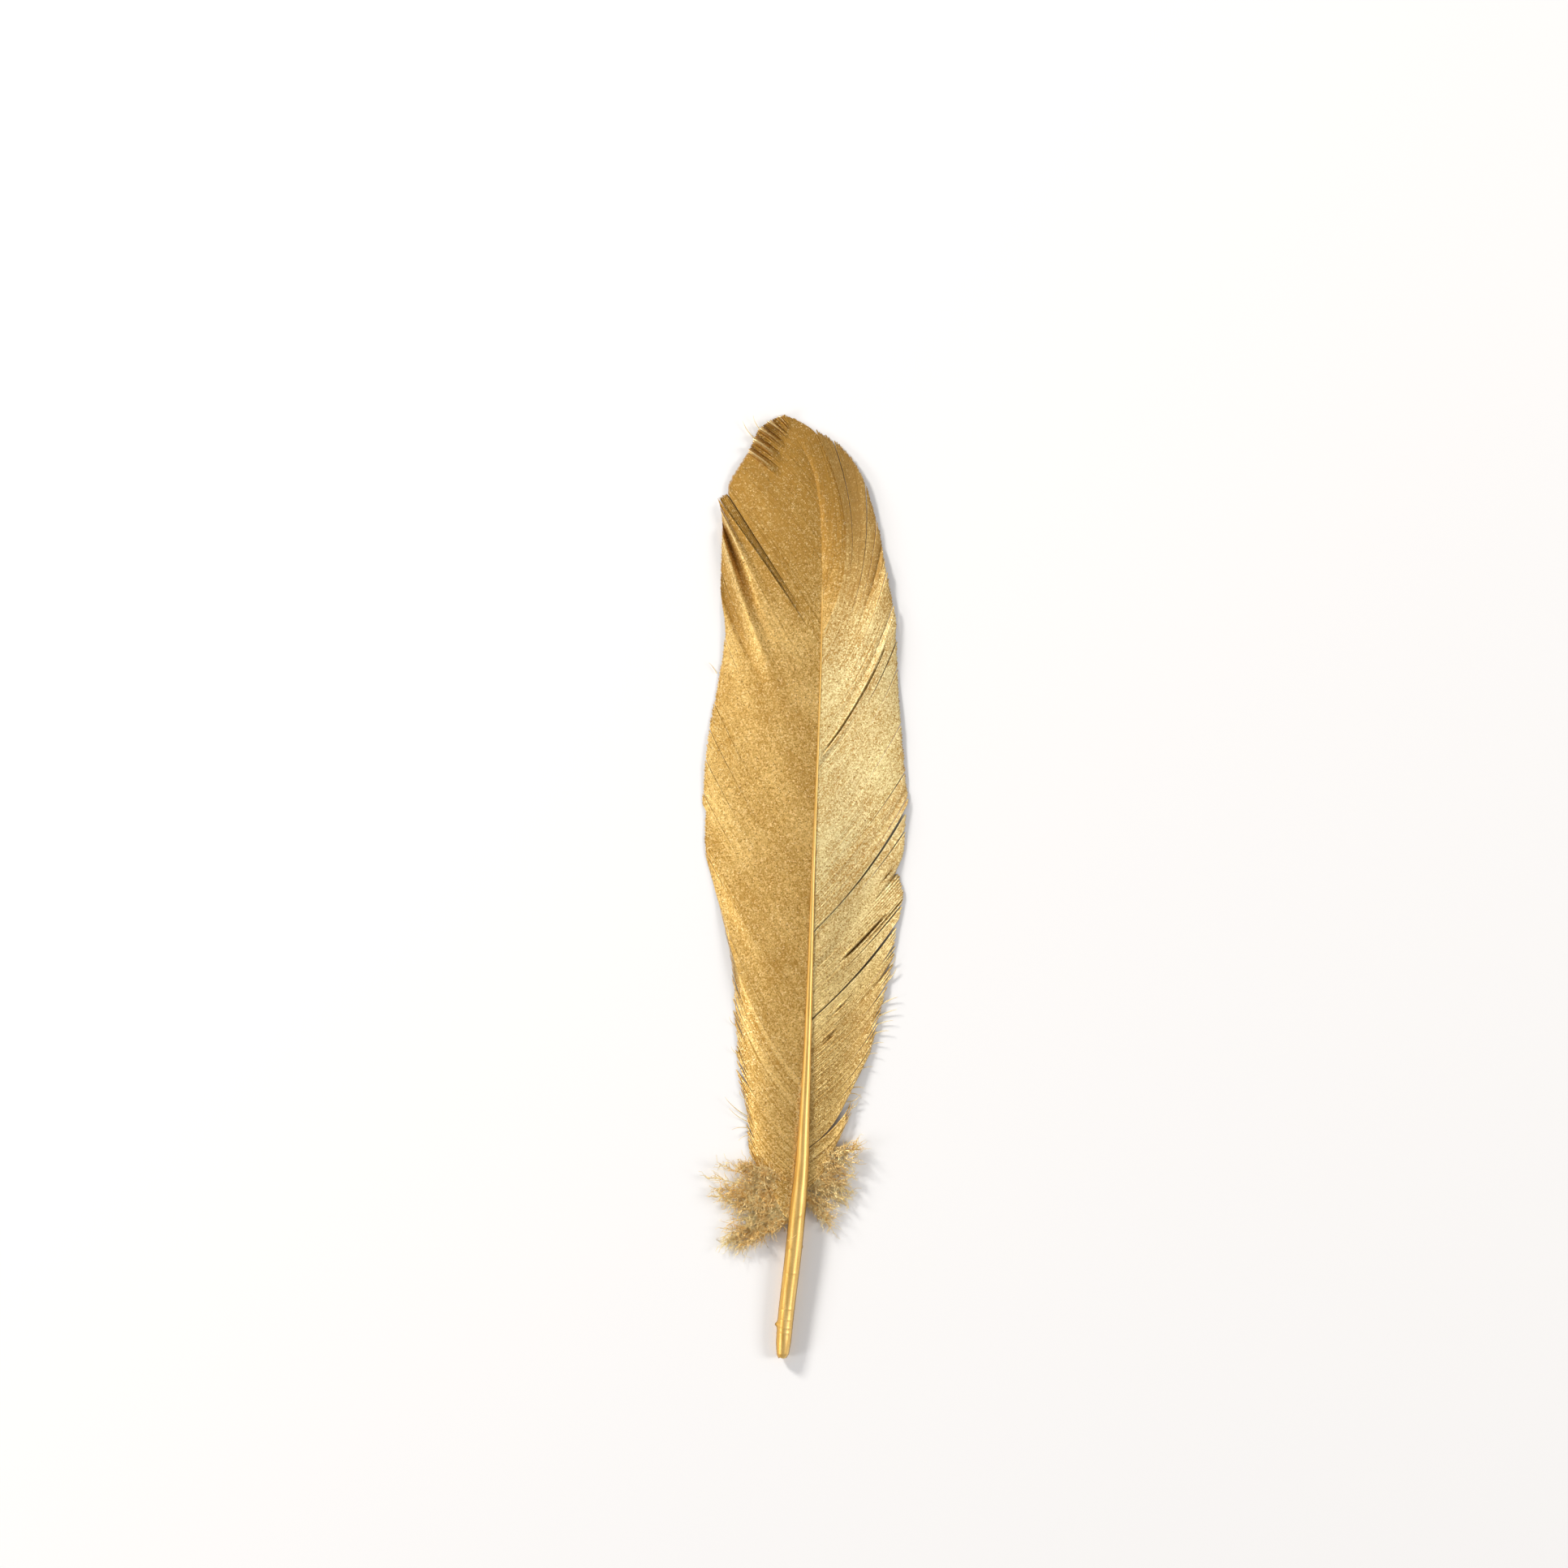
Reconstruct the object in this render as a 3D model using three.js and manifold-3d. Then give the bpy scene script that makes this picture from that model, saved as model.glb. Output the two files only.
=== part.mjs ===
// A goose feather painted gold, lying on its underside with the quill towards -Y and the tip towards +Y.
// Millimetres, +Z up. The origin is at the middle of the feather's outline, on the surface it lies on.

import * as THREE from "three";
import { mergeVertices } from "three/addons/utils/BufferGeometryUtils.js";
import Module from "manifold-3d";

// Length of the whole feather, and how it is shared between bare quill and vane.
const LENGTH = 170;
const QUILL_END = -LENGTH / 2;
const SHAFT_END = 79.6;

// Thickness of the vane at the shaft and at its edge.
const VANE_ROOT_THICKNESS = 0.52;
const VANE_EDGE_THICKNESS = 0.4;
// Height that a lock's tip rises across its width, so that it laps over the next one like a roof tile.
const LAP_RISE = 0.2;
// Share of a lock's width that the step to the next lock takes, and share of its length by which a
// lock's outer barbs end short.
const LOCK_SEAM = 0.08;
const LOCK_ROUNDING = 0.014;
// How far a lock starts beyond the shaft's middle, so that left and right vane grow together there.
const ROOT_REACH = 0.3;
// Power by which a barb drops from the shaft to the surface: slowly at first, then faster.
const DROP_POWER = 1.7;

// Sides of the shaft's section, and how much deeper than wide that section is.
const SHAFT_SIDES = 12;
const SHAFT_DEPTH = 1.12;
const SHAFT_STATIONS = 26;
// Stations crowd towards the quill's rounded end by this power of their even spacing.
const STATION_CROWDING = 1.35;
// Halvings of the shaft's line that find a place along it.
const HALVINGS = 24;

// The hollow at the end of the quill.
const HOLLOW_RADIUS = 0.42;
const HOLLOW_DEPTH = 1.6;
const HOLLOW_SIDES = 8;
// Sections of the hollow: depth behind the quill's end, and share of its radius.
const HOLLOW_SECTIONS = [
  [-0.5, 1.15],
  [0, 1],
  [HOLLOW_DEPTH, 0.35],
];

// Thickness of the coat of paint, and the distance at which two corners are one.
const PAINT_THICKNESS = 0.01;
const MERGE_DISTANCE = 1e-3;

// Rows of facets along a lock, and columns across it.
const LOCK_ROWS = 5;
const LOCK_COLUMNS = 3;

// Colour of the gold paint.
const GOLD = new THREE.Color(0.8, 0.61, 0.29);

// The shaft from the quill's end to its tip: place along the feather, sideways bend, height of its
// middle, and half its width.
const SHAFT = [
  [QUILL_END, -4.15, 1.5, 0.75],
  [-84.3, -4.1, 1.5, 1.1],
  [-82, -3.95, 1.52, 1.38],
  [-77, -3.5, 1.64, 1.46],
  [-66, -2.2, 1.95, 1.52],
  [-57, -1.3, 2.3, 1.5],
  [-50, -0.65, 2.65, 1.24],
  [-42, -0.25, 3.15, 0.99],
  [-30, 0.3, 3.9, 0.71],
  [-14, 0.85, 4.75, 0.5],
  [2, 1.35, 5.2, 0.42],
  [24, 2.2, 5.1, 0.36],
  [43, 2.85, 4.3, 0.33],
  [57, 3.0, 3.3, 0.31],
  [67, 2.7, 2.4, 0.3],
  [74, 1.6, 1.6, 0.29],
  [SHAFT_END, -1.1, 1.0, 0.28],
];

// Angle between barb and shaft where the barb leaves it, in degrees, at places along the feather.
const LEFT_ANGLE = [
  [-60, 58],
  [-45, 46],
  [-30, 36],
  [45, 32],
  [80, 26],
];
const RIGHT_ANGLE = [
  [-56, 62],
  [-30, 50],
  [0, 44],
  [20, 40],
  [45, 31],
  [66, 10],
  [80, -24],
];

// Stretches of vane between splits, from the tip down. Each point is a barb: its root along the shaft,
// then its tip across and along the feather. lift is how far a stretch's edge stands off the surface,
// and sink how far its middle lies below its neighbours.
const LEFT_VANE = [
  {
    // The crown.
    locks: 8,
    lift: [0.15, 0.5],
    barbs: [
      [79.3, -3.9, 85],
      [75.5, -6.2, 84],
      [70.5, -8.6, 82.2],
      [64.5, -10.4, 78.6],
      [56, -12.2, 75],
      [43.4, -14.1, 70.8],
    ],
  },
  {
    // The fallen strip in the slit.
    locks: 1,
    lift: [0, 0],
    sink: 0.42,
    barbs: [
      [43.9, -14.2, 70.6],
      [41.4, -15.6, 69.6],
    ],
  },
  {
    // The shoulder.
    locks: 9,
    lift: [0.35, 0],
    barbs: [
      [42.6, -15.8, 69.9],
      [34, -15.1, 67],
      [25, -15, 63],
      [20, -15.3, 53.5],
      [14, -14.5, 46],
      [6, -15.7, 37],
      [-3, -17.3, 28.5],
      [-10, -18.2, 21.5],
      [-16.4, -18.7, 14.5],
    ],
  },
  {
    // The belly.
    locks: 4,
    lift: [0, 0.35],
    barbs: [
      [-15.9, -18.1, 13.7],
      [-23, -18.1, 6.5],
      [-29, -16.6, 0.4],
      [-35.5, -15.1, -5.1],
    ],
  },
  {
    // The foot.
    locks: 6,
    lift: [0, 0],
    barbs: [
      [-34.2, -14.6, -7.4],
      [-38, -13.3, -14],
      [-43, -12.6, -25],
      [-48, -12.1, -34],
      [-52.5, -10.8, -40],
      [-57.5, -9.7, -49.4],
    ],
  },
];
const RIGHT_VANE = [
  {
    // The crown.
    locks: 4,
    lift: [0.15, 0.3],
    barbs: [
      [79.3, -3.9, 85.1],
      [72, -2.4, 84.4],
      [62, 0.2, 83],
      [43.4, 2.3, 81.3],
    ],
  },
  {
    // The shoulder.
    locks: 8,
    lift: [0, 0.6],
    barbs: [
      [44.6, 2.5, 81.7],
      [41.5, 6.6, 79],
      [39, 10, 74.3],
      [36, 13, 65],
      [30, 14.8, 55.5],
      [21.2, 16.6, 46.8],
    ],
  },
  {
    // The middle.
    locks: 5,
    lift: [0, 0.3],
    barbs: [
      [23.5, 16.2, 47.5],
      [13, 16.6, 36.5],
      [1, 17.8, 22],
      [-8.4, 18.7, 14.8],
    ],
  },
  {
    // The split lock above the notch.
    locks: 2,
    lift: [0.2, 0],
    barbs: [
      [-8.5, 18, 13.1],
      [-12, 17.6, 6],
      [-15.6, 16.2, 2.3],
    ],
  },
  {
    // The split lock below the notch.
    locks: 2,
    lift: [0, 0.25],
    barbs: [
      [-14.4, 17.2, 1.3],
      [-19, 17.5, -2],
      [-24.1, 16.9, -6.2],
    ],
  },
  {
    // The belly.
    locks: 6,
    lift: [0, 0.2],
    barbs: [
      [-24.4, 16.5, -7.2],
      [-31, 15.4, -15],
      [-37, 13.6, -22.5],
      [-42, 11.6, -30],
      [-47.2, 7.6, -37.8],
    ],
  },
  {
    // The foot.
    locks: 2,
    lift: [0, 0],
    barbs: [
      [-47.4, 9.4, -38],
      [-50, 8.2, -41.5],
      [-52.5, 6.3, -44.6],
    ],
  },
];

// Tufts of down at the base of each vane: root along the shaft, tip across, along and up.
const DOWN_THICKNESS = 1.1;
const DOWN_WIDTH = 4.4;
const DOWN_ROWS = 5;
const DOWN_SIDES = 6;
// A tuft's narrowest width as a share of its widest, the part of a half turn that its width swells
// through, how much its thickness has lessened at the tip, and its clearance above the surface.
const DOWN_NARROWEST = 0.35;
const DOWN_SWELL = [0.15, 0.9];
const DOWN_TAPER = 0.35;
const DOWN_CLEARANCE = 0.05;
const LEFT_DOWN = [
  [-55, -15.6, -50.4, 1.6],
  [-56.5, -17.2, -53.6, 1.2],
  [-57.5, -15.4, -57, 1.5],
  [-58.5, -14.2, -61.4, 1.1],
  [-59.2, -15.5, -65.6, 0.9],
  [-60, -10.4, -65, 1.2],
];
const RIGHT_DOWN = [
  [-51.2, 9.4, -46.6, 1.5],
  [-52.8, 9.5, -50, 1.2],
  [-54.5, 8.6, -54, 1.3],
  [-56.5, 6.4, -58, 1],
  [-58.5, 4.6, -62, 0.9],
];

const wasm = await Module();
wasm.setup();

// Value at a place, read off a list of places in ascending order.
function readOff(list, place, column = 1) {
  const last = list.length - 1;
  if (place <= list[0][0]) return list[0][column];
  if (place >= list[last][0]) return list[last][column];
  const next = list.findIndex((entry) => entry[0] > place);
  const [from, to] = [list[next - 1], list[next]];
  const share = (place - from[0]) / (to[0] - from[0]);
  return THREE.MathUtils.lerp(from[column], to[column], share);
}

// A smooth curve through the shaft's stations, read by place along the feather.
const shaftLine = new THREE.CatmullRomCurve3(
  SHAFT.map(([along, across, height]) => new THREE.Vector3(across, along, height)),
);
function shaftPoint(along) {
  let [low, high] = [0, 1];
  for (let step = 0; step < HALVINGS; step += 1) {
    const middle = (low + high) / 2;
    if (shaftLine.getPoint(middle).y < along) low = middle;
    else high = middle;
  }
  return shaftLine.getPoint(low);
}

// Closed body through a list of rings that have the same number of points, in the same turning sense.
function loft(rings) {
  const sides = rings[0].length;
  const positions = rings.flat().flatMap((point) => point.toArray());
  const indices = [];
  for (let row = 0; row < rings.length - 1; row += 1) {
    for (let side = 0; side < sides; side += 1) {
      const here = row * sides + side;
      const beside = row * sides + ((side + 1) % sides);
      indices.push(here, beside, beside + sides, here, beside + sides, here + sides);
    }
  }
  // Each end is closed by a strip between the ring's first half and its second half.
  const lastRing = (rings.length - 1) * sides;
  for (let side = 0; side < sides / 2 - 1; side += 1) {
    const [near, far] = [side, side + 1];
    const [nearOther, farOther] = [sides - 1 - side, sides - 2 - side];
    indices.push(near, nearOther, farOther, near, farOther, far);
    const end = [near, farOther, nearOther, near, far, farOther];
    indices.push(...end.map((corner) => lastRing + corner));
  }
  const geometry = new THREE.BufferGeometry();
  geometry.setAttribute("position", new THREE.Float32BufferAttribute(positions, 3));
  geometry.setIndex(indices);
  return solidOf(geometry);
}

function solidOf(geometry) {
  const merged = mergeVertices(geometry, MERGE_DISTANCE);
  const vertProperties = new Float32Array(merged.attributes.position.array);
  const triVerts = new Uint32Array(merged.index.array);
  const solid = new wasm.Manifold(new wasm.Mesh({ numProp: 3, vertProperties, triVerts }));
  if (solid.volume() > 0) return solid;
  const turned = triVerts.slice();
  for (let corner = 0; corner < turned.length; corner += 3) {
    [turned[corner], turned[corner + 1]] = [turned[corner + 1], turned[corner]];
  }
  return new wasm.Manifold(new wasm.Mesh({ numProp: 3, vertProperties, triVerts: turned }));
}

function geometryOf(solid) {
  const mesh = solid.getMesh();
  const positions = [];
  for (let vertex = 0; vertex < mesh.numVert; vertex += 1) {
    const start = vertex * mesh.numProp;
    positions.push(...mesh.vertProperties.slice(start, start + 3));
  }
  const geometry = new THREE.BufferGeometry();
  geometry.setAttribute("position", new THREE.Float32BufferAttribute(positions, 3));
  geometry.setIndex(Array.from(mesh.triVerts));
  return geometry;
}

function mainBody(solid) {
  return solid.decompose().sort((one, other) => other.volume() - one.volume())[0];
}

// The quill and the shaft: one tapering rod, a little deeper than wide.
function makeShaft() {
  const rings = [];
  for (let station = 0; station <= SHAFT_STATIONS; station += 1) {
    const share = (station / SHAFT_STATIONS) ** STATION_CROWDING;
    const along = THREE.MathUtils.lerp(QUILL_END, SHAFT_END, share);
    const middle = shaftPoint(along);
    const radius = readOff(SHAFT, along, 3);
    const ring = [];
    for (let side = 0; side < SHAFT_SIDES; side += 1) {
      const turn = ((side + 0.5) / SHAFT_SIDES) * Math.PI * 2;
      const across = middle.x + radius * Math.sin(turn);
      const up = middle.z + radius * SHAFT_DEPTH * -Math.cos(turn);
      ring.push(new THREE.Vector3(across, middle.y, Math.max(up, 0)));
    }
    rings.push(ring);
  }
  return loft(rings);
}

// The small hollow that the quill's open end shows.
function makeHollow() {
  const mouth = shaftPoint(QUILL_END);
  const rings = HOLLOW_SECTIONS.map(([depth, scale]) => {
    const ring = [];
    for (let side = 0; side < HOLLOW_SIDES; side += 1) {
      const turn = (side / HOLLOW_SIDES) * Math.PI * 2;
      const reach = HOLLOW_RADIUS * scale;
      ring.push(
        new THREE.Vector3(
          mouth.x + reach * Math.sin(turn),
          QUILL_END + depth,
          mouth.z - reach * Math.cos(turn),
        ),
      );
    }
    return ring;
  });
  return loft(rings);
}

// Point on a barb: a curve that leaves the shaft at the barb angle and bends up towards its tip, and
// drops from the shaft's height to the surface.
function barbPoint(side, angles, barb, share, lift) {
  const root = shaftPoint(barb.x);
  root.x -= side * ROOT_REACH;
  const tip = new THREE.Vector3(barb.y, barb.z, lift);
  const angle = THREE.MathUtils.degToRad(readOff(angles, barb.x));
  const reach = Math.hypot(tip.x - root.x, tip.y - root.y) / 2;
  const bend = new THREE.Vector3(
    root.x + side * reach * Math.sin(angle),
    root.y + reach * Math.cos(angle),
    0,
  );
  const point = new THREE.QuadraticBezierCurve3(root, bend, tip).getPoint(share);
  point.z = root.z * (1 - share ** DROP_POWER) + lift * share ** 2;
  return point;
}

// Section of the vane along one barb: its upper side from the shaft to the tip, then its under side back.
function barbRing(side, angles, stretch, place, rise, short) {
  const line = new THREE.CatmullRomCurve3(
    stretch.barbs.map(([root, across, along]) => new THREE.Vector3(root, across, along)),
  );
  const lift = THREE.MathUtils.lerp(...stretch.lift, place);
  const [upper, lower] = [[], []];
  for (let row = 0; row <= LOCK_ROWS; row += 1) {
    const share = (row / LOCK_ROWS) * (1 - short);
    const thickness = THREE.MathUtils.lerp(VANE_ROOT_THICKNESS, VANE_EDGE_THICKNESS, share);
    const point = barbPoint(side, angles, line.getPoint(place), share, lift);
    const sink = (stretch.sink ?? 0) * Math.sin(Math.PI * share);
    const middle = point.z + share * (thickness / 2 + rise) - sink;
    upper.push(new THREE.Vector3(point.x, point.y, middle + thickness / 2));
    lower.push(new THREE.Vector3(point.x, point.y, Math.max(middle - thickness / 2, 0)));
  }
  return [...upper, ...lower.reverse()];
}

// One stretch of vane: its locks side by side, each sloping down to where the next one rises again. The
// outer barbs of a lock end a little short, which rounds its tip.
function makeStretch(side, angles, stretch) {
  const rings = [];
  for (let lock = 0; lock < stretch.locks; lock += 1) {
    for (let column = 0; column < LOCK_COLUMNS; column += 1) {
      const across = column / (LOCK_COLUMNS - 1);
      const place = (lock + LOCK_SEAM / 2 + across * (1 - LOCK_SEAM)) / stretch.locks;
      const short = column === 0 || column === LOCK_COLUMNS - 1 ? LOCK_ROUNDING : 0;
      rings.push(barbRing(side, angles, stretch, place, LAP_RISE * (1 - across), short));
    }
  }
  return loft(rings);
}

// One tuft of down: a soft flat lock that widens to its middle and narrows to its tip.
function makeDown([along, tipAcross, tipAlong, tipUp]) {
  const root = shaftPoint(along);
  const tip = new THREE.Vector3(tipAcross, tipAlong, tipUp);
  const flow = new THREE.Vector2(tip.x - root.x, tip.y - root.y).normalize();
  const rings = [];
  for (let row = 0; row <= DOWN_ROWS; row += 1) {
    const share = row / DOWN_ROWS;
    const middle = root.clone().lerp(tip, share);
    const swell = Math.sin(Math.PI * THREE.MathUtils.lerp(...DOWN_SWELL, share));
    const halfWidth = (DOWN_WIDTH / 2) * THREE.MathUtils.lerp(DOWN_NARROWEST, 1, swell);
    const halfDepth = (DOWN_THICKNESS / 2) * (1 - DOWN_TAPER * share);
    const ring = [];
    for (let side = 0; side < DOWN_SIDES; side += 1) {
      const turn = (side / DOWN_SIDES) * Math.PI * 2;
      const sideways = halfWidth * Math.cos(turn);
      ring.push(
        new THREE.Vector3(
          middle.x - flow.y * sideways,
          middle.y + flow.x * sideways,
          Math.max(middle.z + halfDepth * Math.sin(turn), DOWN_CLEARANCE),
        ),
      );
    }
    rings.push(ring);
  }
  return loft(rings);
}

const pieces = [
  makeShaft(),
  ...LEFT_VANE.map((stretch) => makeStretch(-1, LEFT_ANGLE, stretch)),
  ...RIGHT_VANE.map((stretch) => makeStretch(1, RIGHT_ANGLE, stretch)),
  ...LEFT_DOWN.map(makeDown),
  ...RIGHT_DOWN.map(makeDown),
];
const grown = pieces.reduce((whole, piece) => whole.add(piece)).subtract(makeHollow());
// Facets narrower than the paint is thick are closed up, and the crumbs that this leaves are dropped.
const painted = mainBody(solidOf(geometryOf(mainBody(grown.simplify(PAINT_THICKNESS)))));

const goldPaint = new THREE.MeshStandardMaterial({ color: GOLD, roughness: 0.42, metalness: 0.85 });
const body = geometryOf(painted);
body.computeBoundingBox();
body.translate(0, 0, -body.boundingBox.min.z);
const gooseFeather = new THREE.Mesh(body, goldPaint);
gooseFeather.name = "goose_feather";

const feather = new THREE.Group();
feather.add(gooseFeather);

export default feather;
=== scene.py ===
# %% [markdown]
# # A goose feather painted gold
#
# A feather is a shaft with hundreds of barbs on each side. The barbs lie side by side and hook into one
# another, and together they make the two vanes. Towards the quill they lose their hooks and turn into
# down. This one has been sprayed gold all over.
#
# The feather is built here the way it grows: barb by barb. Its frame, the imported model, is loaded first,
# and everything below is in that frame, in metres, with the feather lying flat and its tip towards +Y.

# %% Load the frame
import math

import bmesh
import bpy
import numpy as np
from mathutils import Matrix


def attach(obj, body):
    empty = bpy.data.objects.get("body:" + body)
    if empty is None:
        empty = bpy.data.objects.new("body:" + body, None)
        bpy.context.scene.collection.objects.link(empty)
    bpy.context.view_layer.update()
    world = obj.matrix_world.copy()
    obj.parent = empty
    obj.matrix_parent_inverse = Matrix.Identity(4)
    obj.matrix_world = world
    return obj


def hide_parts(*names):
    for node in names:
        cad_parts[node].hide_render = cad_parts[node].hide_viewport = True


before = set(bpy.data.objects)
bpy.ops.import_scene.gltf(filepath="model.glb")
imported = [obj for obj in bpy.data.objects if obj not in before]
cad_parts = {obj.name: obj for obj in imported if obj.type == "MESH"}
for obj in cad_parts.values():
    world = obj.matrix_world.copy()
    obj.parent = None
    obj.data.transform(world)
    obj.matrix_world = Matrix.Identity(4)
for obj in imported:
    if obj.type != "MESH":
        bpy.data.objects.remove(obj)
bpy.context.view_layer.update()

MM = 0.001

# %% [markdown]
# ## Where the camera stands
#
# The feather was photographed from straight above. A long lens from far away keeps it free of
# perspective. Places in the photograph are given in its own pixels, and one pixel is a known part of a
# millimetre, so the camera can be put where the picture shows the feather at the same place and size.

# %% The camera
PHOTO_SIDE_PX = 1932
MM_PER_PX = 0.1463
ORIGIN_PX = (992.5, 1092)
LENS_MM = 200
SENSOR_MM = 36


def photo_place(across_px, down_px):
    """Place in the feather's frame, in metres, of a pixel of the photograph."""
    across = (across_px - ORIGIN_PX[0]) * MM_PER_PX * MM
    along = (ORIGIN_PX[1] - down_px) * MM_PER_PX * MM
    return across, along


photo_width = PHOTO_SIDE_PX * MM_PER_PX * MM
middle_of_photo = photo_place(PHOTO_SIDE_PX / 2, PHOTO_SIDE_PX / 2)
camera_data = bpy.data.cameras.new("camera")
camera_data.lens = LENS_MM
camera_data.sensor_width = SENSOR_MM
camera_data.sensor_fit = "HORIZONTAL"
camera = bpy.data.objects.new("camera", camera_data)
camera.location = (*middle_of_photo, photo_width * LENS_MM / SENSOR_MM)
bpy.context.collection.objects.link(camera)
bpy.context.scene.camera = camera
bpy.context.scene.view_settings.view_transform = "Standard"
print("camera height in metres:", round(camera.location.z, 3))

# %% [markdown]
# ## Floor and light
#
# Gold paint shows what is around it, so the lights are soft and few. The key light stands at the upper left
# and rakes across the barbs of the right vane, which draws their ridges. A broad light on the right
# brightens the right vane, which leans that way, and puts the long highlight on the quill. A weak one low
# on the left picks out the folds of the left vane, and a pale room fills the shadows.

# %% Floor, room and lights
ROOM_COLOUR = (1.0, 0.98, 0.97, 1)
ROOM_STRENGTH = 0.4


def flat_mesh(name, corners, faces):
    """A mesh object from corners and faces."""
    mesh = bpy.data.meshes.new(name)
    mesh.from_pydata([tuple(corner) for corner in corners], [], faces)
    mesh.update()
    made = bpy.data.objects.new(name, mesh)
    bpy.context.collection.objects.link(made)
    return made


FLOOR_HALF = 1.5
FLOOR_CORNERS = [(-1, -1), (1, -1), (1, 1), (-1, 1)]
floor = flat_mesh("floor", [(x * FLOOR_HALF, y * FLOOR_HALF, 0) for x, y in FLOOR_CORNERS], [(0, 1, 2, 3)])

room = bpy.data.worlds.new("room")
room.use_nodes = True
room.node_tree.nodes["Background"].inputs["Color"].default_value = ROOM_COLOUR
room.node_tree.nodes["Background"].inputs["Strength"].default_value = ROOM_STRENGTH
bpy.context.scene.world = room


def soft_light(name, place, size, watts, colour):
    """A square area light that looks at the feather's middle."""
    light = bpy.data.lights.new(name, "AREA")
    light.shape = "SQUARE"
    light.size = size
    light.energy = watts
    light.color = colour
    made = bpy.data.objects.new(name, light)
    made.location = place
    away = np.array(place)
    away = away / np.linalg.norm(away)
    turn = math.atan2(away[0], -away[1])
    made.rotation_euler = (math.acos(away[2]), 0, turn)
    bpy.context.collection.objects.link(made)
    return made


soft_light("key_light", (-0.7, 0.7, 0.55), 0.2, 11, (1.0, 0.97, 0.92))
soft_light("side_light", (0.95, -0.05, 0.72), 0.4, 5.4, (1.0, 0.98, 0.95))
soft_light("fill_light", (-0.95, -0.3, 0.5), 0.3, 3.2, (1.0, 1.0, 1.0))

# %% [markdown]
# ## Writing node graphs as plain expressions
#
# A material is a graph of nodes, and so is a Geometry Nodes tree. Long graphs are hard to read in a
# script, so one small class wraps an output socket: adding or multiplying two of them adds the Math node
# that does it. Every other kind of node comes from `Graph.node`, which takes the node's type, its
# settings and what feeds its sockets. `Graph.geometry` does the same for the nodes that work on meshes.

# %% The graph helpers


class Wire:
    """An output socket that takes part in Python expressions."""

    def __init__(self, graph, socket):
        self.graph = graph
        self.socket = socket

    def maths(self, operation, first, second):
        return self.graph.node("ShaderNodeMath", {"operation": operation}, {0: first, 1: second})

    def __add__(self, other):
        return self.maths("ADD", self, other)

    def __radd__(self, other):
        return self.maths("ADD", other, self)

    def __sub__(self, other):
        return self.maths("SUBTRACT", self, other)

    def __rsub__(self, other):
        return self.maths("SUBTRACT", other, self)

    def __mul__(self, other):
        return self.maths("MULTIPLY", self, other)

    def __rmul__(self, other):
        return self.maths("MULTIPLY", other, self)

    def between(self, low, high):
        """0 at low, 1 at high, and a straight rise from one to the other."""
        sockets = {0: self, 1: low, 2: high, 3: 0.0, 4: 1.0}
        return self.graph.node("ShaderNodeMapRange", {"clamp": True}, sockets)


class Graph:
    """A node tree, and the way to add nodes to it."""

    def __init__(self, tree):
        self.tree = tree

    def node(self, kind, settings=None, sockets=None, out=0):
        made = self.tree.nodes.new(kind)
        for setting, value in (settings or {}).items():
            setattr(made, setting, value)
        for socket, value in (sockets or {}).items():
            self.feed(made.inputs[socket], value)
        return Wire(self, made.outputs[out]) if len(made.outputs) else made

    def geometry(self, kind, sockets=None, **settings):
        return self.node("GeometryNode" + kind, settings, sockets)

    def named(self, name, data_type="FLOAT"):
        """An attribute that the paths carry."""
        return self.geometry("InputNamedAttribute", {"Name": name}, data_type=data_type)

    def feed(self, socket, value):
        if isinstance(value, Wire):
            self.tree.links.new(value.socket, socket)
        elif value is not None:
            socket.default_value = value


class Finish(Graph):
    """A material with a Principled shader. Constants are set on the shader's own sockets."""

    def __init__(self, name, **constants):
        self.material = bpy.data.materials.new(name)
        self.material.use_nodes = True
        super().__init__(self.material.node_tree)
        self.shader = self.tree.nodes["Principled BSDF"]
        for socket, value in constants.items():
            self.shader.inputs[socket.replace("_", " ")].default_value = value
        self.place = self.node("ShaderNodeTexCoord", out="Object")

    def blend(self, share, first, second):
        """Colour between two colours."""
        settings = {"data_type": "RGBA", "blend_type": "MIX"}
        return self.node("ShaderNodeMix", settings, {0: share, 6: first, 7: second}, out=2)

    def grains(self, size, channel=0):
        """A random value from 0 to 1 for each drop of paint of this size."""
        sockets = {"Vector": self.place, "Scale": 1 / size}
        cells = self.node("ShaderNodeTexVoronoi", None, sockets, out="Color")
        return self.node("ShaderNodeSeparateColor", None, {0: cells}, out=channel)

    def cloud(self, size, detail, place=None):
        """Slow change from place to place, around a half."""
        sockets = {"Vector": place or self.place, "Scale": 1 / size, "Detail": detail}
        return self.node("ShaderNodeTexNoise", None, sockets)

    def attribute(self, name):
        return self.node("ShaderNodeAttribute", {"attribute_name": name}, out="Fac")

    def relief(self, height, depth, strength):
        sockets = {"Height": height, "Distance": depth, "Strength": strength}
        return self.node("ShaderNodeBump", None, sockets)

    def wear(self, **links):
        """Feed the shader's own sockets, and give the finished material."""
        for socket, value in links.items():
            self.feed(self.shader.inputs[socket.replace("_", " ")], value)
        return self.material
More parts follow.
